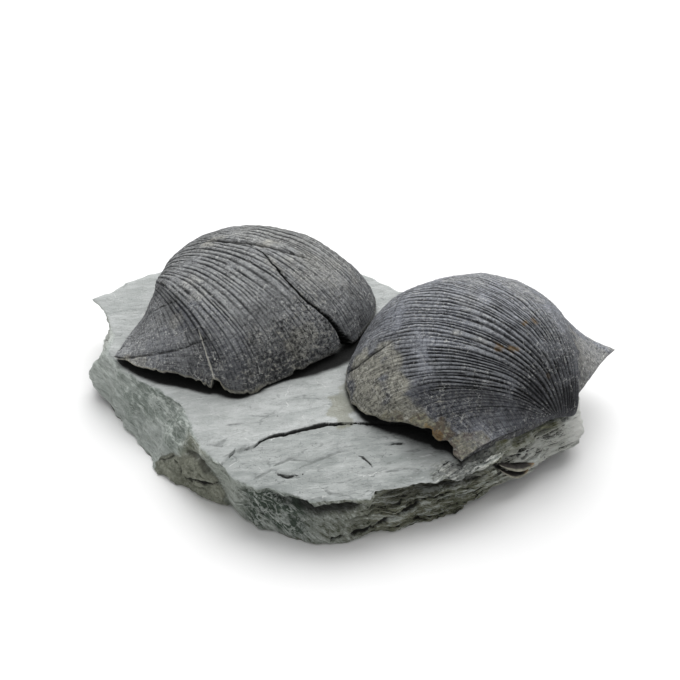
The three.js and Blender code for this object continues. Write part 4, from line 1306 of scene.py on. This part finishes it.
def makeSlab():
    around = rimColumns()
    station = around["station"]
    edge = ringOf(around, around["worn"], slab["top"])
    topEdge = topHeight(edge[:, 0], edge[:, 1])[0]
    side, sideDark, brown, facet = sideFaces(around, topEdge)
    top, blackAway, faintAway, shade = topFace(around, topEdge)

    bedEdge, retreat = slab["bed"]
    bed = ringOf(around, around["foot"] - bedEdge - retreat * around["footHeight"] + around["worn"], 0.0)
    bedMiddle = np.array([*slab["centre"], 0])
    lower = [bed + (bedMiddle - bed) * inward for inward in (1, 0.5, 0.15, 0)]
    lower.append(ringOf(around, around["foot"] - 0.35 + around["worn"], around["footHeight"]))
    upper = ringOf(around, around["worn"] - 0.03, topEdge - 0.12)
    last = np.broadcast_to(top[-1].mean(axis=0), upper.shape)
    rows = np.concatenate([np.stack(lower), side, upper[None], top, last[None]])

    def fill(sideValues, topValues):
        # mask over all rows, from its values on the side and on the upper face
        onSide = sideValues + 0 * side[..., 0]
        onTop = topValues + 0 * top[..., 0]
        bevel = (onSide[-1:] + onTop[:1]) * 0.5
        return np.concatenate([np.zeros((len(lower), len(station))), onSide, bevel, onTop, onTop[-1:]])

    x, y = top[..., 0], top[..., 1]
    flat = np.stack([x, y, 0 * x], axis=-1)
    rough = lumps(flat, 1.8, 71, 3)
    stain = 0 * x
    for centreX, centreY, reachX, reachY, strength in stains:
        away = np.hypot((x - centreX) / reachX, (y - centreY) / reachY) + 0.35 * rough
        stain = np.maximum(stain, strength * smoothStep(1.05, 0.9, away))
    height = side[..., 2]
    # the right end lobe is painted lighter, as painted light
    paintedEndLight = between(*sideFades["paintedLight"], station)
    paintedEndLight = paintedEndLight * smoothStep(3.5, 5, height + 0.8 * lumps(side, 3, 72, 3))
    oliveTop = smoothStep(2.6, 0.8, fromLine(flat[..., :2], oliveEdge)[0] + 0.8 * rough)
    oliveSide = smoothStep(2, 0.6, fromLine(side[..., :2], oliveEdge)[0]) * smoothStep(8.5, 10.5, height)
    brokenTop = smoothStep(3.4, 1.6, fromLine(flat[..., :2], brokenStrip)[0] + 1.2 * rough)
    brokenSide = between(*sideFades["broken"], station)
    brokenSide = brokenSide * smoothStep(5.5, 7.5, height + 0.8 * lumps(side, 2.5, 73, 3))
    masks = {
        "side": fill(1, 0),
        "rear": fill(0, smoothStep(-0.1, 0.1, fromSheetEdge(x, y))),
        "dark": fill(sideDark, 0),
        "blackAway": fill(slab["lineReach"], blackAway),
        "faintAway": fill(slab["lineReach"], faintAway),
        "layered": fill(around["layered"], 0),
        "tone": fill(around["tone"], 1),
        "front": fill(smoothStep(*frontFrom, station), 0),
        "brown": fill(brown, 0),
        "facet": fill(facet, 0),
        "stain": fill(0, stain),
        "olive": fill(oliveSide, oliveTop),
        "broken": fill(brokenSide, brokenTop),
        "paintedLight": fill(paintedEndLight, 0),
        "shade": fill(0, shade),
    }
    masks["side"][:len(lower)] = 1
    piece = wrapRows("slateSlab", rows, masks)
    bpy.ops.object.shade_smooth_by_angle(angle=math.radians(45))
    piece.data.materials.append(slateFinish(slateLook, slateMarks))
    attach(piece, "root")
    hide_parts("slate_block")
    return piece


makeSlab()
print("slab made")


# Broken edge of a third fossil

fragment = {
    # two nested edges: start, end, how far the middle sags, half thickness, half depth
    "edges": [
        ((30, -21.9, 8), (37.1, -17.8, 5.4), 0.9, 0.5, 1.5),
        ((29.9, -22, 7.1), (35.9, -18.9, 4.5), 1.3, 0.45, 1.3),
    ],
    "outwards": (0.5, -0.86, 0),
    "rings": 90,
    "around": 40,
}
fragmentLook = {
    "dark": ink(34, 30, 30),
    "light": ink(58, 53, 49),
    "edge": ink(158, 156, 140),
    "tan": ink(166, 138, 98),
}


def makeFragment():
    along = np.linspace(0, 1, fragment["rings"])[:, None]
    turn = np.arange(fragment["around"]) / fragment["around"] * 2 * math.pi
    width = np.sqrt(np.sin(math.pi * along))
    clearSelection()
    parts = []
    for number, (start, end, sag, thick, deep) in enumerate(fragment["edges"]):
        start, end = np.array(start), np.array(end)
        middle = start + (end - start) * along
        middle[:, 2] -= sag * np.sin(math.pi * along[:, 0])
        rise = width * thick * np.cos(turn)
        out = width * deep * np.sin(turn)
        rows = middle[:, None] + out[..., None] * np.array(fragment["outwards"])
        rows[..., 2] += rise
        rows += 0.08 * lumps(rows, 0.7, 81 + number, 3)[..., None] * np.array(fragment["outwards"])
        masks = {
            "ridge": 0 * rise + smoothStep(0.7, 0.95, np.sin(turn)),
            "end": 0 * rise + smoothStep(0.75, 1, along),
        }
        parts.append(wrapRows("brokenEdgeFossil", rows, masks))
    clearSelection()
    for part in parts:
        part.select_set(True)
    bpy.context.view_layer.objects.active = parts[0]
    bpy.ops.object.join()
    piece = parts[0]
    finish, shader, place = startFinish("brownFossilSurface")
    mottle = place.grain(0.8, 4.0, 0.7).step(0.35, 0.65)
    colour = painted(mottle.pick(fragmentLook["dark"], fragmentLook["light"]), fragmentLook, [
        (place.mask("ridge") * (0.5 + 0.4 * mottle), "edge"),
        (place.mask("end") * 0.8, "tan"),
    ])
    fine = place.grain(0.4, 3.0, 0.6)
    endFinish(shader, place, colour, 0.5 + 0.2 * fine, fine, 0.2)
    piece.data.materials.append(finish)
    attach(piece, "root")
    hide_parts("embedded_fragment")
    return piece


makeFragment()
print("fragment made")

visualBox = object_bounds()
boxes = {"cad": cadBox, "visual": visualBox}
boxes = {name: [[float(v) for v in corner] for corner in box] for name, box in boxes.items()}
